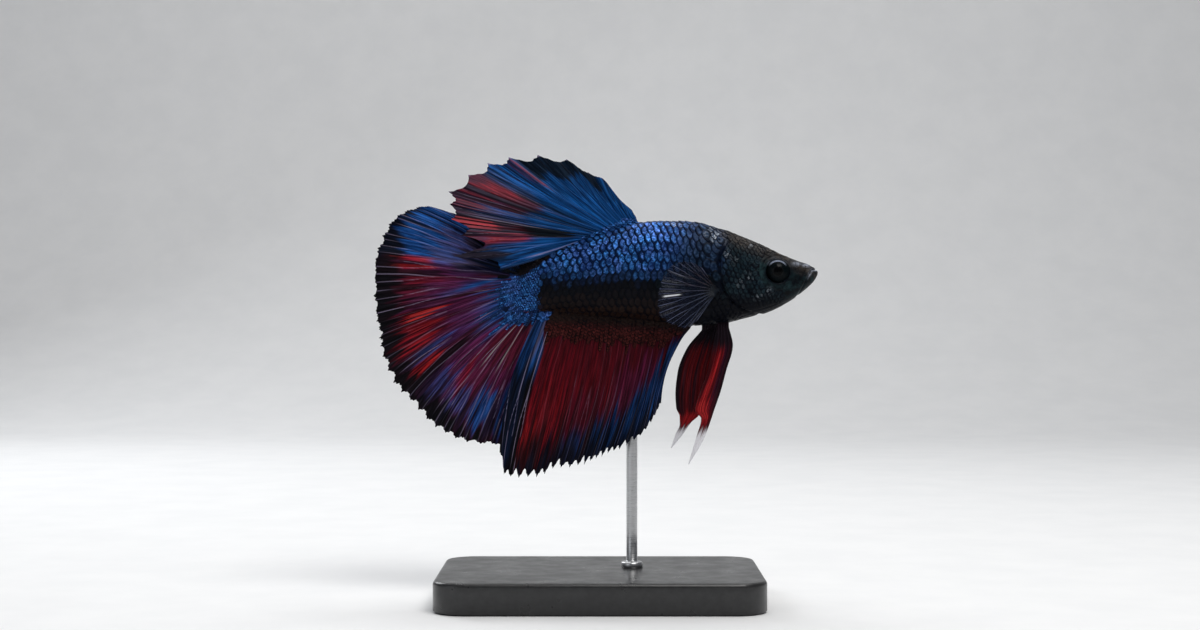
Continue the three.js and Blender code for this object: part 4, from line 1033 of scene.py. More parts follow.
def pectoral(name, side, material):
    k = PECTORAL
    n = len(k["rays"]) - 1
    share = np.arange(n + 1) / n
    angle, length = through(share, [r[0] for r in k["rays"]]), through(share, [r[1] for r in k["rays"]])
    nu, nv = 236, 90
    u, v = np.meshgrid(np.linspace(0, 1, nu), np.linspace(-0.10, 1, nv), indexing="ij")
    vo = np.clip(v, 0, 1)
    count = 11.0
    t = u * count
    cutin = 0.030 * (0.5 - np.cos(2 * PI * t) / 2) * sm(0.3, 1, v) + 0.010 * (0.5 + np.cos(4 * PI * t) / 2) * sm(0.6, 1, v)
    a = np.radians(angle(u))
    l = length(u) * v * (1 - cutin)
    back, up = np.cos(a) * l, np.sin(a) * l
    cup = 0.35 * np.sin(PI * u) * v * v
    fold = 0.10 * np.sin(2 * PI * t) * vo ** 1.2
    x = k["root"][0] - back - 0.25 * vo + np.where(v < 0, 0.9 * v * -1, 0)
    y = side * (k["y"] + k["swing"] * (np.maximum(back, 0) + 0.3 * np.abs(up) * vo) - cup + fold * 0.6 + np.where(v < 0, 9.0 * v, 0))
    z = k["root"][1] + k["half"] * (2 * u - 1) * (0.8 + 0.2 * vo) + up
    mid = np.stack([x, y, z], -1)
    if side > 0:
        mid = mid[::-1]
        u, t = u[::-1], t[::-1]
    wide = np.linalg.norm(np.gradient(mid, axis=0), axis=-1) * nu / count
    d = np.abs(tent(t + 0.5) - 0.23 * sm(0.35, 0.75, vo)) * wide
    wr = 0.085 - 0.02 * vo
    ray = np.exp(-(d / wr) ** 2)
    edge = np.maximum(np.exp(-(u * count * wide / 0.10) ** 2), np.exp(-((1 - u) * count * wide / 0.10) ** 2))
    ray = np.maximum(ray, edge)
    thick = (0.035 + 0.085 * (1 - 0.55 * vo) * ray + 0.14 * (1 - sm(0.0, 0.22, v))) * (1 - 0.6 * sm(0.93, 1, v))
    pts, quads, uv, _ = sheet(mid, thick)
    # a few rays catch the light near their ends
    bright = 1.0 * bump(u, 0.500, 0.0085) * between(vo, 0.60, 0.93, 0.05)
    for at, size, start in ((0.545, 0.16, 0.66), (0.590, 0.10, 0.70), (0.635, 0.14, 0.66), (0.70, 0.10, 0.55), (0.42, 0.08, 0.7), (0.36, 0.08, 0.72)):
        bright = np.maximum(bright, size * bump(u, at, 0.006) * between(vo, start, 0.97, 0.08))
    fields = dict(ray=ray, out=vo * 9, place=u * 11, bright=bright, fleshy=1 - sm(0.03, 0.24, v))
    fields = {q: np.tile(np.broadcast_to(f, u.shape).ravel(), 2) for q, f in fields.items()}
    ob = make(name, pts, quads=quads, fields=fields, uv=uv)
    ob.data.materials.append(material)
    return ob


def pectoral_material():
    m, t, b = node_tree("pectoral_web")
    n = Net(t)
    ray, bright = n.field("ray"), n.field("bright")
    fine = n.noise(1.0, 3, 0.6, n.vec(n.math("MULTIPLY", n.field("place"), 6.0), n.math("MULTIPLY", n.field("out"), 0.7)))
    c = n.mix(n.span(fine, 0.3, 0.7, 0, 1), (0.0026, 0.0042, 0.0105), (0.0090, 0.0135, 0.0320))
    warm = n.mix(n.span(n.field("place"), 5.0, 8.5, 0, 1), (0.0420, 0.0520, 0.0900), (0.0640, 0.0380, 0.0330))
    warm = n.mix(n.span(n.field("out"), 4.6, 7.6, 0, 1), warm, (0.1450, 0.1600, 0.2600))
    c = n.mix(n.math("MULTIPLY", n.span(ray, 0.35, 1.0, 0.0, 1.0), n.span(fine, 0.3, 0.6, 0.25, 0.85)), c, warm)
    # painted highlights on the rays that catch the light
    c = n.mix(bright, c, (0.80, 0.81, 0.86))
    c = n.mix(n.math("MULTIPLY", n.field("fleshy"), 0.9), c, (0.0060, 0.0090, 0.0130))
    n.link(c, b.inputs["Base Color"])
    see = n.math("MAXIMUM", n.math("MAXIMUM", n.span(ray, 0.1, 0.8, 0.40, 0.95), bright), n.field("fleshy"), True)
    n.link(see, b.inputs["Alpha"])
    n.link(n.span(fine, 0.3, 0.7, 0.30, 0.48), b.inputs["Roughness"])
    b.inputs["Specular IOR Level"].default_value = 0.10
    b.inputs["Coat Weight"].default_value = 0.02
    b.inputs["Coat Roughness"].default_value = 0.2
    n.link(n.bump(fine, 0.4, 0.00004), b.inputs["Normal"])
    return m


# ------------------------------------------------------------------ one skin over head, trunk and tail root
def build_skin(material):
    xs = np.concatenate([np.linspace(X_REAR, 18.0, 96)[:-1], np.linspace(18.0, 34.30, 196)[:-1],
                         np.linspace(34.30, X_FRONT, 46)])
    nr = 288
    t = -PI / 2 + 2 * PI * np.arange(nr) / nr
    ring = t - 0.14 * np.sin(2 * t)
    x, a = np.meshgrid(xs, ring, indexing="ij")
    p = skin_point(x, a)
    nx = len(xs)
    pts = [p.reshape(-1, 3), p[0].mean(0)[None], p[-1].mean(0)[None] + np.array([[0.05, 0, 0]])]
    pts = np.concatenate(pts)
    ids = np.arange(nx * nr).reshape(nx, nr)
    after = np.roll(ids, -1, axis=1)
    quads = np.stack([ids[:-1], ids[1:], after[1:], after[:-1]], -1).reshape(-1, 4)
    rear, front = nx * nr, nx * nr + 1
    tris = np.concatenate([np.stack([ids[0], after[0], np.full(nr, rear)], -1),
                           np.stack([after[-1], ids[-1], np.full(nr, front)], -1)])
    here = unwrap(x, a)
    there = np.roll(here, -1, axis=1).copy()
    there[:, -1, 1] = 0.99
    uq = np.stack([here[:-1], here[1:], there[1:], there[:-1]], 2).reshape(-1, 2)
    mid0 = (here[0] + there[0]) / 2 - np.array([0.006, 0])
    mid1 = (here[-1] + there[-1]) / 2 + np.array([0.006, 0])
    ut = np.concatenate([np.stack([here[0], there[0], mid0], 1).reshape(-1, 2),
                         np.stack([there[-1], here[-1], mid1], 1).reshape(-1, 2)])
    fields = markings(pts)
    fields["scaled"] = scaled_part(pts[:, 0], pts[:, 2])
    ob = make("skin", pts, quads=quads, tris=tris, fields=fields, uv=np.concatenate([uq, ut]))
    ob.data.materials.append(material)
    return ob


# ------------------------------------------------------------------ eyes
def build_eye(name, side, material):
    e = EYE
    nt, nr = 128, 56
    t = 2 * PI * np.arange(nt) / nt
    f = np.linspace(0, PI, nr + 1)[1:-1] ** 1.0
    f = f[f < 2.2]
    tt, ff = np.meshgrid(t, f, indexing="ij")
    # a slightly flattened ball with the clear dome of the cornea over the pupil
    swell = 1 + 0.045 * np.exp(-(ff / 0.62) ** 2)
    x = e["x"] + e["r"] * np.sin(ff) * np.cos(tt)
    z = e["z"] + e["r"] * np.sin(ff) * np.sin(tt)
    y = side * (e["y"] + e["ry"] * np.cos(ff) * swell)
    pts = np.stack([x, y, z], -1).reshape(-1, 3)
    n = len(f)
    pole = np.array([[e["x"], side * (e["y"] + e["ry"] * 1.045), e["z"]]])
    back = np.array([[e["x"], side * (e["y"] + e["ry"] * math.cos(f[-1]) * 0.9), e["z"]]])
    count = len(pts)
    pts = np.concatenate([pts, pole, back])
    ids = np.arange(nt * n).reshape(nt, n)
    nxt = np.roll(ids, -1, axis=0)
    quads = np.stack([ids[:, :-1], nxt[:, :-1], nxt[:, 1:], ids[:, 1:]], -1).reshape(-1, 4)
    tris = np.concatenate([np.stack([nxt[:, 0], ids[:, 0], np.full(nt, count)], -1),
                           np.stack([ids[:, -1], nxt[:, -1], np.full(nt, count + 1)], -1)])
    away = np.concatenate([(e["r"] * np.sin(ff)).reshape(-1), [0.0, 0.0]])
    away = np.where(np.concatenate([ff.reshape(-1), [0, 3]]) > PI / 2, 2.5, away)
    turn = np.concatenate([tt.reshape(-1), [0.0, 0.0]])
    uv = np.stack([0.5 + 0.46 * np.concatenate([(ff / 2.3 * np.cos(tt)).reshape(-1), [0, 0]]),
                   0.5 + 0.46 * np.concatenate([(ff / 2.3 * np.sin(tt)).reshape(-1), [0, 0]])], -1)
    ob = make(name, pts, quads=quads, tris=tris, uv=uv,
              fields=dict(away=away, turnx=np.cos(turn), turnz=np.sin(turn)))
    ob.data.materials.append(material)
    return ob


def eye_material():
    m, t, b = node_tree("fish_eye")
    n = Net(t)
    r = n.field("away")
    fibre = n.noise(1.0, 3, 0.6, n.vec(n.math("MULTIPLY", n.field("turnx"), 9.0), n.math("MULTIPLY", n.field("turnz"), 9.0), n.math("MULTIPLY", r, 0.8)))
    cloud = n.noise(700, 3, 0.5)
    iris = n.mix(n.span(fibre, 0.35, 0.65, 0, 1), (0.0006, 0.0015, 0.0021), (0.0022, 0.0048, 0.0066))
    iris = n.mix(n.span(cloud, 0.45, 0.7, 0, 0.5), iris, (0.0030, 0.0030, 0.0033))
    ring = n.math("MULTIPLY", n.span(r, 0.72, 0.80, 0.0, 1.0, True), n.span(r, 0.82, 0.98, 1.0, 0.0, True))
    c = n.mix(n.math("MULTIPLY", ring, n.span(fibre, 0.3, 0.6, 0.25, 0.75)), iris, (0.0075, 0.0070, 0.0068))
    c = n.mix(n.span(r, 0.68, 0.76, 1.0, 0.0, True), c, (0.0010, 0.0011, 0.0015))
    c = n.mix(n.span(r, 1.30, 1.70, 0.0, 0.9, True), c, (0.0014, 0.0034, 0.0044))
    # painted highlight: the pale crescent along its upper edge
    rim_highlight = n.math("MULTIPLY", n.math("MULTIPLY", n.span(r, 1.48, 1.58, 0.0, 1.0, True), n.span(r, 1.70, 1.84, 1.0, 0.0, True)),
                 n.math("MULTIPLY", n.span(n.field("turnz"), 0.46, 0.86, 0.0, 1.0, True), n.span(fibre, 0.3, 0.55, 0.55, 1.0)))
    c = n.mix(n.math("MULTIPLY", rim_highlight, 0.85), c, (0.2300, 0.2600, 0.3400))
    n.link(c, b.inputs["Base Color"])
    n.link(n.math("ADD", n.span(fibre, 0.3, 0.7, 0.16, 0.28), n.span(r, 1.0, 1.5, 0.0, 0.34)), b.inputs["Roughness"])
    b.inputs["Specular IOR Level"].default_value = 0.03
    n.link(n.span(r, 0.90, 1.40, 0.060, 0.0), b.inputs["Coat Weight"])
    b.inputs["Coat Roughness"].default_value = 0.04
    n.link(n.bump(fibre, 0.15, 0.00003), b.inputs["Normal"])
    return m


# ------------------------------------------------------------------ scales
def disk_grid(g):
    """Square grid pressed into a round, with its rim in order."""
    a, b = np.meshgrid(np.linspace(-1, 1, g + 1), np.linspace(-1, 1, g + 1), indexing="ij")
    s, t = a * np.sqrt(1 - b * b / 2), b * np.sqrt(1 - a * a / 2)
    ids = np.arange((g + 1) ** 2).reshape(g + 1, g + 1)
    rim = np.concatenate([ids[:-1, 0], ids[-1, :-1], ids[:0:-1, -1], ids[0, :0:-1]])
    return s.ravel(), t.ravel(), grid_faces(g + 1, g + 1), rim


def build_scales(name, spots, surface, fields_at, root_uv, material, grid=8, lift=(-0.02, 0.20), thick=0.040, seed=1, calm=1.0):
    """Overlapping scales. spots holds rows of (c1, c2, radius, width share); surface
    maps a spot and offsets toward the tail and up to points, normals and extra lift."""
    s, t, top_faces, rim = disk_grid(grid)
    c1, c2, size, wide = [spots[:, k][:, None] for k in range(4)]
    k = np.arange(len(spots))
    turn = (0.16 * (rand(k, seed) - 0.5))[:, None]
    own = rand(k, seed + 1)
    tilt = (0.75 + 0.5 * rand(k, seed + 2))[:, None]
    point = s + 0.13 * np.clip(s, 0, 1) ** 2 * (1 - np.abs(t)) ** 1.0
    ragged = 1 + 0.03 * (noise(s[None, :] * 2 + k[:, None] * 3.1, t[None, :] * 2, 0, seed) - 0.5)
    ds = size * (point[None, :] * np.cos(turn) - t[None, :] * np.sin(turn)) * ragged
    dt = size * wide * (point[None, :] * np.sin(turn) + t[None, :] * np.cos(turn)) * ragged
    base, normal, extra = surface(c1, c2, ds, dt)
    rr = s * s + t * t
    height = lift[0] + (lift[1] * tilt - lift[0]) * (point[None, :] + 1) / 2 - 0.028 * (t * t)[None, :] * np.minimum(1, size)
    height = height + extra
    topv = base + normal * height[..., None]
    low = base[:, rim] + normal[:, rim] * (height[:, rim] - thick * 0.55)[..., None]
    centre = np.argmin(rr)
    mid = base[:, centre] + normal[:, centre] * (height[:, centre] - thick)[..., None]
    n_top, n_rim = len(s), len(rim)
    per = n_top + n_rim + 1
    pts = np.concatenate([topv, low, mid[:, None]], 1)
    shift = (np.arange(len(spots)) * per)[:, None, None]
    nxt = np.roll(np.arange(n_rim), -1)
    side = np.stack([rim, rim[nxt], n_top + nxt, n_top + np.arange(n_rim)], -1)
    quads = np.concatenate([top_faces[:, ::-1], side])
    tris = np.stack([n_top + np.arange(n_rim), n_top + nxt, np.full(n_rim, per - 1)], -1)
    # rim order runs with the grid
    quads = (quads[None] + shift).reshape(-1, 4)
    tris = (tris[None] + shift).reshape(-1, 3)
    # each scale's painted sheen sits in its own place, set a little up and toward the head, so that the painted shade
    # of its dark rim falls on its lower, tailward side
    ox, oy = -0.05 + 0.28 * (rand(k, seed + 7) - 0.5)[:, None], 0.11 + 0.30 * (rand(k, seed + 8) - 0.5)[:, None]
    wide_heart = (0.90 + 0.30 * rand(k, seed + 6))[:, None]
    heart = np.sqrt(((s[None, :] - 0.36 - ox) / (0.62 * wide_heart)) ** 2 + ((t[None, :] - oy) / (0.74 * wide_heart)) ** 2)
    outer = np.clip((np.sqrt(rr) - 0.80) / 0.20, 0, 1)[None, :]
    heart = np.maximum(heart, outer)
    edge = np.concatenate([heart, heart[:, rim], heart[:, centre:centre + 1]], 1)
    fields = {key: np.repeat(value[:, None], per, 1).ravel() for key, value in fields_at(spots, own).items()}
    fields["edge"] = np.clip(calm * edge.ravel(), 0, 1.5)
    fields["own"] = np.repeat(own, per)
    root = root_uv(spots)
    loc = np.concatenate([np.stack([s, t], -1), np.stack([s, t], -1)[rim] * 1.0, [[s[centre], t[centre]]]])
    uv = (root[:, None, :] + 0.0015 * loc[None]).reshape(-1, 2)
    ob = make(name, pts.reshape(-1, 3), quads=quads, tris=tris, fields=fields, uv=uv)
    ob.data.materials.append(material)
    return ob


def pitch(x):
    """Spacing of the scales along the body."""
    return np.interp(x, [-10, -7, -3, 2, 12, 17, 20, 24, 28, 31], [0.90, 1.06, 1.08, 1.03, 1.04, 1.00, 0.86, 0.74, 0.62, 0.52])


def tallness(x):
    """Height of the rows of scales over their spacing along the body."""
    return np.interp(x, [-10, -6, -2, 3, 9, 15, 18, 21, 24], [1.0, 1.06, 1.13, 1.30, 1.50, 1.50, 1.30, 1.12, 1.0])


def tail_pitch(x):
    return np.interp(x, [-16, -10], [0.34, 0.42])


def body_spots(seed, start=30.6, stop=-9.6, pitch=pitch):
    """Places for scales on one flank, from the head back to the tail root."""
    xs, x = [], start
    while x > stop:
        xs.append(x)
        x -= pitch(x)
    xs = np.array(xs)
    rows = []
    for j in range(-48, 49):
        at = (xs[:-1] + xs[1:]) / 2 if j % 2 else xs
        h = tallness(at) * pitch(at)
        q = j * h
        ok = (q < np.interp(at, RX, Q_TOP) + 0.10 * h) & (q > np.interp(at, RX, Q_LOW) - 0.10 * h)
        rows.append(np.stack([at[ok], q[ok], 1.07 * pitch(at[ok]), 0.90 * tallness(at[ok])], -1))
    spots = np.concatenate(rows)
    k = np.arange(len(spots))
    spots[:, 0] += 0.07 * (rand(k, seed + 11) - 0.5) * spots[:, 2]
    spots[:, 1] += 0.07 * (rand(k, seed + 12) - 0.5) * spots[:, 2]
    p = trunk_point(spots[:, 0], angle_at(spots[:, 0], spots[:, 1]))
    X, Z = p[:, 0], p[:, 2]
    er = np.hypot(X - EYE["x"], Z - EYE["z"])
    gd, gs, gside = polyline(GILL_EDGE, X, Z)
    fold = [(33.4, 53.9), (32.75, 52.7), (32.2, 51.3), (31.5, 49.9)]
    fd, fs, fside = polyline(fold, X, Z)
    keep = (er > 2.45 + spots[:, 2]) & ~((gd < 0.45) & (gs > 0.02) & (gs < 0.80)) & (fd > 0.9)
    keep &= (X < 29.6) | (Z > 54.6)
    keep &= np.hypot(X - 18.15, (Z - 50.05) * 0.8) > 1.0
    keep &= X > -13.3 - 1.6 * rand(np.floor(Z / 0.33), seed + 13)
    keep &= ~((Z < 48.0) & (X > 23.5)) & ~((p[:, 1] > -0.9) & (Z < 50) & (X > 20.5))
    return spots[keep]


def body_surface(side):
    def f(c1, c2, ds, dt):
        x = np.clip(c1 - ds, X_REAR + 0.02, 34.5)
        q = c2 + dt
        qt, ql = np.interp(x, RX, Q_TOP), np.interp(x, RX, Q_LOW)
        over = np.maximum(q - (qt - 0.25), 0)
        q = np.where(over > 0, qt - 0.25 + 0.45 * (1 - np.exp(-over / 0.45)), q)
        over = np.maximum((ql + 0.25) - q, 0)
        q = np.where(over > 0, ql + 0.25 - 0.45 * (1 - np.exp(-over / 0.45)), q)
        a = angle_at(x, q)
        p = trunk_point(x, a)
        n = trunk_normal(x, a)
        p = p + n * relief(x, a, p)[..., None]
        # small scales lie closer to the skin
        flat = np.interp(x, [-16.6, -12, -8, 16, 20, 24, 31], [-0.11, -0.09, 0.0, 0.0, -0.015, -0.03, -0.04])
        share = np.clip((ds / np.maximum(np.abs(ds).max(1, keepdims=True), 1e-6) + 1) / 2, 0, 1)
        if side > 0:
            p = p * np.array([1, -1, 1])
            n = n * np.array([1, -1, 1])
        return p, n, flat * share
    return f


def body_fields(side):
    def f(spots, own):
        a = angle_at(spots[:, 0] - 0.3 * spots[:, 2], spots[:, 1])
        p = trunk_point(spots[:, 0] - 0.3 * spots[:, 2], a)
        if side > 0:
            p = p * np.array([1, -1, 1])
        return markings(p)
    return f


def body_uv(side):
    def f(spots):
        a = angle_at(spots[:, 0], spots[:, 1])
        return unwrap(spots[:, 0], a if side < 0 else PI - a)
    return f


# ------------------------------------------------------------------ scales that run on to the roots of the fins
def fin_spots(fin, step, reach, seed, start, ragged):
    """Places in (p, v) on a fin, spaced by step millimetres, from start(u) out to reach(u) mm."""
    p = np.linspace(0, fin.last, 1200)
    mid, u, r, l = fin.middle(p, np.full_like(p, 0.02), flat=True)
    run = np.concatenate([[0], np.cumsum(np.linalg.norm(np.diff(mid, axis=0), axis=1))])
    spots = []
    rows = int(run[-1] / step)
    for i in range(rows + 1):
        at = np.interp((i + 0.5) * run[-1] / (rows + 1), run, p)
        uu, ll = fin.u(at), np.interp(at, p, l)
        out = float(start(uu)) + (step * 0.5 if i % 2 else 0)
        end = reach(uu) * (1 + ragged * (-0.55 + 0.8 * float(rand(i, seed)) + 1.2 * float(rand(i, seed + 3)) ** 4))
        while out < end:
            small = 1 - 0.35 * max(out, 0) / 5
            spots.append([at, out / ll, step * 1.08 * small, 0.92 - 0.25 * max(out, 0) / 5])
            out += step * small
    return np.array(spots)


def fin_surface(fin, side):
    def f(c1, c2, ds, dt):
        h = 1e-3
        m0 = fin.middle(c1, c2)[0]
        dp = np.linalg.norm(fin.middle(c1 + h, c2)[0] - m0, axis=-1) / h
        dv = np.linalg.norm(fin.middle(c1, c2 + h)[0] - m0, axis=-1) / h
        p = np.clip(c1 + dt / dp, 0.002, fin.last - 0.002)
        v = c2 + ds / dv
        mid, u, r, l = fin.middle(p, v)
        a = fin.middle(p + h, v)[0] - fin.middle(p - h, v)[0]
        b = fin.middle(p, v + h)[0] - fin.middle(p, v - h)[0]
        n = unit(np.cross(a, b))
        n = n * np.sign(n[..., 1:2] * side)
        return mid + n * fin.half_thickness(p, v)[..., None], n, 0 * v
    return f


def half_thickness(fin, p, v):
    mid, u, r, l = fin.middle(p, v)
    ro = np.clip(r, 0, 1)
    h = 1e-3
    width = np.linalg.norm(fin.middle(p + h, v)[0] - fin.middle(p - h, v)[0], axis=-1) / (2 * h)
    d = fin.rays(p, ro)[0] * fin.cell * width
    wr = fin.ray_width[0] + (fin.ray_width[1] - fin.ray_width[0]) * ro
    ray = np.exp(-(d / wr) ** 2)
    size = fin.ray_size[0] + (fin.ray_size[1] - fin.ray_size[0]) * ro ** 0.7
    return fin.web_size[0] + (fin.web_size[1] - fin.web_size[0]) * ro + size * ray


Fin.half_thickness = half_thickness


def fin_root_uv(fin, side):
    def f(spots):
        gu = spots[:, 0] / fin.last
        gv = (spots[:, 1] + fin.root) / (1 + fin.root)
        base = 0.015 if side < 0 else 0.515
        return np.stack([base + 0.470 * gu, 0.015 + 0.970 * gv], -1)
    return f


# ------------------------------------------------------------------ stand
def rounded_box(lo, hi, corner, bevel, seg=14, step=6):
    """Plate with rounded corners and a rounded top edge."""
    x0, y0, z0 = lo
    x1, y1, z1 = hi

    def outline(inset):
        c = corner - inset
        pts = []
        for cx, cy, a0 in ((x1 - corner, y1 - corner, 0), (x0 + corner, y1 - corner, 90), (x0 + corner, y0 + corner, 180), (x1 - corner, y0 + corner, 270)):
            for i in range(seg + 1):
                a = math.radians(a0 + 90 * i / seg)
                pts.append((cx + c * math.cos(a), cy + c * math.sin(a)))
        return np.array(pts)
    rings = [(0.35, z0), (0.0, z0 + 0.35)]
    for i in range(step + 1):
        a = PI / 2 * i / step
        rings.append((bevel * (1 - math.cos(a)), z1 - bevel + bevel * math.sin(a)))
    rings.append((bevel + 1.2, z1))
    pts = np.concatenate([np.column_stack([outline(i), np.full(4 * (seg + 1), z)]) for i, z in rings])
    n = 4 * (seg + 1)
    ids = np.arange(len(pts)).reshape(-1, n)
    nxt = np.roll(ids, -1, axis=1)
    quads = np.stack([ids[:-1], nxt[:-1], nxt[1:], ids[1:]], -1).reshape(-1, 4)
    mid_top = [[(x0 + x1) / 2, (y0 + y1) / 2, z1]]
    mid_low = [[(x0 + x1) / 2, (y0 + y1) / 2, z0]]
    t, b = len(pts), len(pts) + 1
    pts = np.concatenate([pts, mid_top, mid_low])
    tris = np.concatenate([np.stack([ids[-1], nxt[-1], np.full(n, t)], -1), np.stack([nxt[0], ids[0], np.full(n, b)], -1)])
    return pts, quads, tris


def lathe(profile, cx, cy, n=72):
    pr = np.asarray(profile, float)
    t = 2 * PI * np.arange(n) / n
    body = pr[1:-1]
    pts = np.stack([cx + body[:, None, 0] * np.cos(t), cy + body[:, None, 0] * np.sin(t), np.repeat(body[:, 1:2], n, 1)], -1).reshape(-1, 3)
    pts = np.concatenate([pts, [[cx, cy, pr[0, 1]], [cx, cy, pr[-1, 1]]]])
    ids = np.arange(len(body) * n).reshape(-1, n)
    nxt = np.roll(ids, -1, axis=1)
    quads = np.stack([ids[:-1], nxt[:-1], nxt[1:], ids[1:]], -1).reshape(-1, 4)
    a, b = len(pts) - 2, len(pts) - 1
    tris = np.concatenate([np.stack([nxt[0], ids[0], np.full(n, a)], -1), np.stack([ids[-1], nxt[-1], np.full(n, b)], -1)])
    return pts, quads, tris


def base_material():
    m, t, b = node_tree("stand_black_acrylic")
    n = Net(t)
    grain = n.noise(900, 4, 0.6)
    n.link(n.mix(n.span(grain, 0.35, 0.7, 0, 1), (0.0150, 0.0152, 0.0160), (0.0230, 0.0232, 0.0245)), b.inputs["Base Color"])
    n.link(n.span(n.noise(260, 3, 0.6), 0.3, 0.7, 0.26, 0.38), b.inputs["Roughness"])
    b.inputs["Specular IOR Level"].default_value = 0.5
    n.link(n.bump(grain, 0.12, 0.00003), b.inputs["Normal"])
    return m


def rod_material():
    m, t, b = node_tree("stand_brushed_steel")
    n = Net(t)
    sx = n.new("ShaderNodeSeparateXYZ")
    n.link(n.place(), sx.inputs[0])
    brush = n.noise(1.0, 4, 0.6, n.vec(n.math("MULTIPLY", sx.outputs[0], 400.0), n.math("MULTIPLY", sx.outputs[1], 400.0), n.math("MULTIPLY", sx.outputs[2], 9000.0)))
    n.link(n.mix(n.span(brush, 0.3, 0.7, 0, 1), (0.42, 0.43, 0.44), (0.60, 0.60, 0.61)), b.inputs["Base Color"])
    n.link(n.span(brush, 0.3, 0.7, 0.24, 0.40), b.inputs["Roughness"])
    b.inputs["Metallic"].default_value = 1.0
    n.link(n.bump(brush, 0.25, 0.00002), b.inputs["Normal"])
    return m


def floor_material():
    m, t, b = node_tree("studio_paper")
    n = Net(t)
    n.link(n.mix(n.span(n.noise(60, 3, 0.6), 0.35, 0.65, 0, 1), (0.80, 0.805, 0.81), (0.83, 0.833, 0.836)), b.inputs["Base Color"])
    b.inputs["Roughness"].default_value = 0.85
    return m


# ------------------------------------------------------------------ put it together
ROOT = "root"
skin_finish, scale_finish = skin_material(), scale_material()
skin = build_skin(skin_finish)
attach(skin, ROOT)
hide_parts("head", "lower_jaw", "gill_cover_right", "gill_cover_left", "trunk", "tail_base")

eye_finish = eye_material()
for name, side, node in (("eyeball_right", -1, "eye_right"), ("eyeball_left", 1, "eye_left")):
    eye = build_eye(name, side, eye_finish)
    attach(eye, ROOT)
    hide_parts(node)

caudal = Fin(CAUDAL, caudal_lean, 2, 0.5, (0.12, 0.42), (0.50, 0.80), 0.045,
             [(9.0, 0.20, 0.15), (14.0, 0.13, 0.62), (4.3, 0.24, 0.30)], 51)
dorsal = Fin(DORSAL, dorsal_lean, 1, 0.5, (0.25, 0.60), (0.60, 0.90), 0.085,
             [(8.0, 0.14, 0.35), (13.0, 0.10, 0.10)], 61)
anal = Fin(ANAL, anal_lean, 1, 0.5, (0.45, 0.75), (2.0, 3.0), 0.070,
           [(9.0, 0.17, 0.55), (15.0, 0.11, 0.20)], 71)
FIN_BLUES = {"dorsal_fin": (11.0, (0.0036, 0.0520, 0.2260), (0.0145, 0.1470, 0.4900)),
             "tail_fin": (7.0, (0.0046, 0.0460, 0.2180), (0.0230, 0.1240, 0.4250), (0.0600, 0.0060, 0.0240), (0.1150, 0.0190, 0.0560)),
             "anal_fin": (7.0, (0.0034, 0.0340, 0.1610), (0.0170, 0.0920, 0.3150), (0.0560, 0.0028, 0.0090), (0.1000, 0.0066, 0.0180))}
fin_parts = []
for fin, name, node, slot, nu, nv, paint in (
        (caudal, "tail_fin_web", "caudal_fin", "tail_fin", 721, 67, paint_caudal),
        (dorsal, "dorsal_fin_web", "dorsal_fin", "dorsal_fin", 561, 84, paint_dorsal),
        (anal, "anal_fin_web", "anal_fin", "anal_fin", 601, 80, paint_anal)):
    fin.ray_size, fin.web_size, fin.ray_width = (0.20, 0.055), (0.075, 0.040), (0.19, 0.10)
    ob = fin.build(name, nu, nv, paint, fin.ray_size, fin.web_size, fin.ray_width)
    tones = dict(night=((0.0024, 0.0044, 0.0078), (0.0090, 0.0170, 0.0270))) if slot == "dorsal_fin" else {}
    ob.data.materials.append(fin_material(name + "_finish", *FIN_BLUES[slot], **tones))
    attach(ob, ROOT)
    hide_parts(node)

pelvic_finish = fin_material("pelvic_fin_finish", wine=(0.0520, 0.0026, 0.0022), rose=(0.0950, 0.0052, 0.0040))
pectoral_finish = pectoral_material()
for name, spec, near, node in (("pelvic_web_right", PELVIC_R, True, "pelvic_fin_right"),
                               ("pelvic_web_left", PELVIC_L, False, "pelvic_fin_left")):
    ob = pelvic(name, spec, near, pelvic_finish)
    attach(ob, ROOT)
    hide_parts(node)
for name, side, node in (("pectoral_web_right", -1, "pectoral_fin_right"), ("pectoral_web_left", 1, "pectoral_fin_left")):
    ob = pectoral(name, side, pectoral_finish)
    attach(ob, ROOT)
    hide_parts(node)

# scales of the trunk and head, in two pieces for each side
for side, word in ((-1, "right"), (1, "left")):
    spots = body_spots(3 if side < 0 else 17)
    big = spots[:, 0] < 17.5
    tail = body_spots(5 if side < 0 else 19, -9.35, -14.9, tail_pitch)
    for chosen, part, grid, lift, thick in ((spots[big], "trunk", 8, (-0.02, 0.20), 0.040), (spots[~big], "head", 6, (-0.02, 0.085), 0.024),
                                            (tail, "tail", 6, (-0.02, 0.17), 0.030)):
        ob = build_scales(f"scales_{part}_{word}", chosen, body_surface(side), body_fields(side), body_uv(side),
                          scale_finish, grid=grid, lift=lift, thick=thick, seed=5 + side)
        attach(ob, ROOT)

root_length = lambda u: np.interp(u, [0, 0.3, 0.42, 0.52, 0.62, 0.75, 0.88, 1.0], [0.4, 1.0, 2.8, 4.0, 4.2, 2.8, 1.2, 0.6])
low_length = lambda u: np.interp(u, [0, 0.055, 0.085, 0.30, 0.60, 0.85, 0.95, 1.0], [0.35, 0.35, 3.0, 3.9, 3.5, 2.6, 0.9, 0.4])
top_length = lambda u: 0.35 + 0 * u
root_start = lambda u: -0.2 - 0.42 * sm(0.70, 0.82, u)
low_start = lambda u: -0.58 + 0 * u
top_start = lambda u: -0.2 + 0 * u


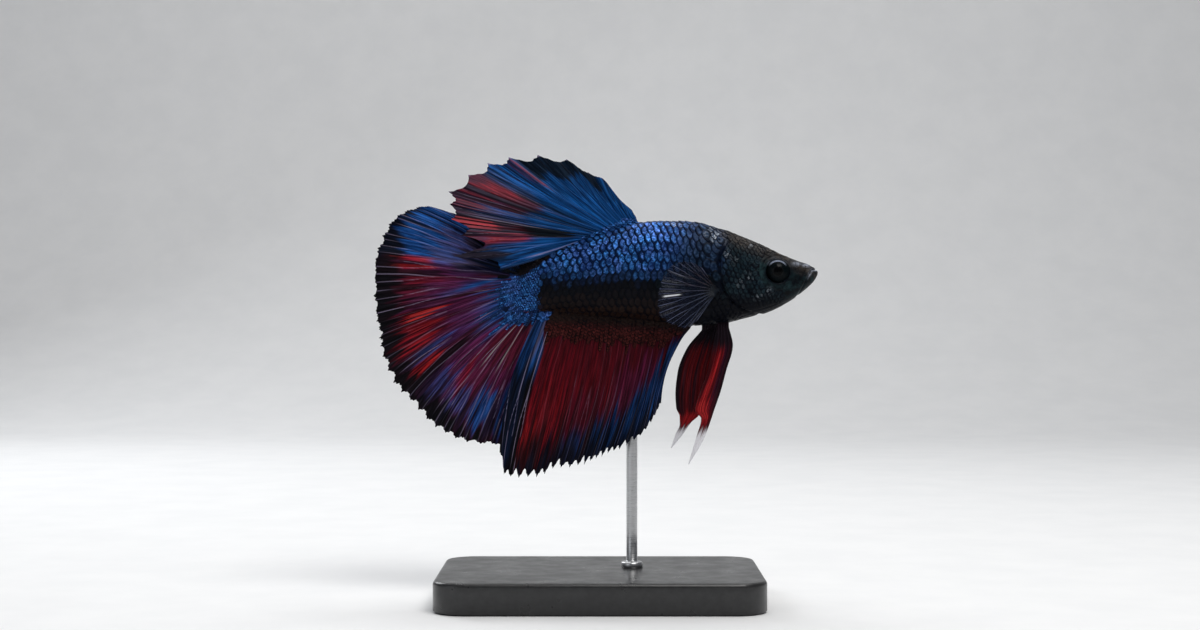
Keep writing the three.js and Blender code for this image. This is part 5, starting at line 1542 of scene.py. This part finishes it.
def root_fields(paint_fin, fin):
    def f(spots, own):
        p, v = spots[:, 0], spots[:, 1] + 0.01
        got = paint_fin(fin.u(p), np.clip(v, 0, 1), p, 0 * p, 0 * p, fin.seed)
        blue = np.clip(got["blue"] * 1.1, 0, 1)
        warm = np.clip(np.maximum(got["maroon"], got["crimson"]) * (1 - blue), 0, 1)
        if paint_fin is paint_caudal:
            blue = np.maximum(blue, sm(0.28, 0.34, fin.u(p))) * (0.30 + 0.80 * sm(0.25, 0.70, noise(p * 2.6, v * 6.0, 0, 77)))
            warm = warm * (1 - blue)
        # the scaled sheath along the foot of the anal fin turns from brown to red
        red = sm(0.0, 0.085, v) * (1 - blue) if paint_fin is paint_anal else 0 * p
        return dict(blue=blue, brown=warm * (1 - red), red=red, teal=0 * p, roof=0 * p, pale=0 * p)
    return f


for fin, word, start, reach, step, paint in ((caudal, "tail_root", root_start, root_length, 0.34, paint_caudal),
                                      (anal, "anal_base", low_start, low_length, 0.62, paint_anal),
                                      (dorsal, "dorsal_base", top_start, top_length, 0.50, paint_dorsal)):
    spots = fin_spots(fin, step, reach, 7, start, 0.45 if fin is anal else 1.0)
    for side, hand in ((-1, "right"), (1, "left")):
        ob = build_scales(f"scales_{word}_{hand}", spots, fin_surface(fin, side), root_fields(paint, fin), fin_root_uv(fin, side),
                          scale_finish, grid=6, lift=(-0.02, 0.075), thick=0.030, seed=9 + side, calm=0.84)
        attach(ob, ROOT)

# stand
lo, hi = [np.array(v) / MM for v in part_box("stand_base")]
pts, quads, tris = rounded_box(lo, hi, 5.0, 0.6)
base = make("stand_plate", pts, quads=quads, tris=tris)
base.data.materials.append(base_material())
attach(base, ROOT)
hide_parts("stand_base")
rlo, rhi = [np.array(v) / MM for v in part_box("stand_rod")]
cx, cy = (rlo[0] + rhi[0]) / 2, (rlo[1] + rhi[1]) / 2
rod_r = (rhi[0] - rlo[0]) / 2
foot = hi[2]
profile = [(0, rlo[2]), (rod_r, rlo[2]), (rod_r, foot - 0.4), (1.75, foot - 0.05), (1.75, foot + 0.75), (1.62, foot + 0.92), (1.40, foot + 1.0),
           (1.02, foot + 1.04), (rod_r, foot + 1.16), (rod_r, foot + 6)]
profile += [(rod_r, z) for z in np.linspace(foot + 12, rhi[2] - 0.3, 7)] + [(rod_r - 0.12, rhi[2] - 0.06), (rod_r - 0.35, rhi[2]), (0, rhi[2])]
pts, quads, tris = lathe(profile, cx, cy)
rod = make("stand_rod_steel", pts, quads=quads, tris=tris)
rod.data.materials.append(rod_material())
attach(rod, ROOT)
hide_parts("stand_rod")

# floor and backdrop in one curved sheet
sweep = [(-900.0, 0.0), (-300.0, 0.0), (200.0, 0.0), (420.0, 0.0)]
for i in range(1, 17):
    a = PI / 2 * i / 16
    sweep.append((420 + 260 * math.sin(a), 260 * (1 - math.cos(a))))
sweep += [(680.0, 500.0), (680.0, 1200.0)]
gx = np.linspace(-1300, 1300, 9)
pts = np.array([[x, y, z] for x in gx for y, z in sweep])
paper = make("studio_sweep", pts, quads=grid_faces(len(gx), len(sweep)), closed=False)
paper.data.materials.append(floor_material())


def area(name, place, aim, size, energy, colour):
    light = bpy.data.lights.new(name, "AREA")
    light.shape = "RECTANGLE"
    light.size, light.size_y = size
    light.energy = energy
    light.color = colour
    ob = bpy.data.objects.new(name, light)
    ob.location = place
    ob.rotation_euler = (Vector(aim) - Vector(place)).to_track_quat("-Z", "Y").to_euler()
    bpy.context.scene.collection.objects.link(ob)
    return ob


aim = (0.0, 0.0, 0.047)
area("key", (0.14, -0.26, 0.44), aim, (0.26, 0.20), 1.45, (1.0, 0.985, 0.96))
area("fill", (-0.42, -0.40, 0.16), aim, (0.40, 0.30), 0.26, (0.93, 0.96, 1.0))
area("top", (0.02, 0.10, 0.46), aim, (0.36, 0.22), 0.95, (1.0, 1.0, 1.0))
area("back", (-0.30, 0.34, 0.30), aim, (0.22, 0.22), 0.80, (0.96, 0.98, 1.0))

world = bpy.data.worlds.new("studio")
world.use_nodes = True
world.node_tree.nodes["Background"].inputs[0].default_value = (0.90, 0.93, 1.0, 1.0)
world.node_tree.nodes["Background"].inputs[1].default_value = 0.14
bpy.context.scene.world = world
bpy.context.scene.view_settings.view_transform = "Standard"

area("backdrop", (0.0, 0.30, 0.62), (0.0, 0.66, 0.16), (0.9, 0.3), 1.1, (1.0, 1.0, 1.0))

lens = bpy.data.cameras.new("view")
lens.sensor_width, lens.lens = 36.0, 60.0
lens.clip_start, lens.clip_end = 0.01, 10.0
camera = bpy.data.objects.new("view", lens)
camera.location = (0.0, -0.324, 0.04617)
camera.rotation_euler = (PI / 2, 0.0, 0.0)
bpy.context.scene.collection.objects.link(camera)
bpy.context.scene.camera = camera
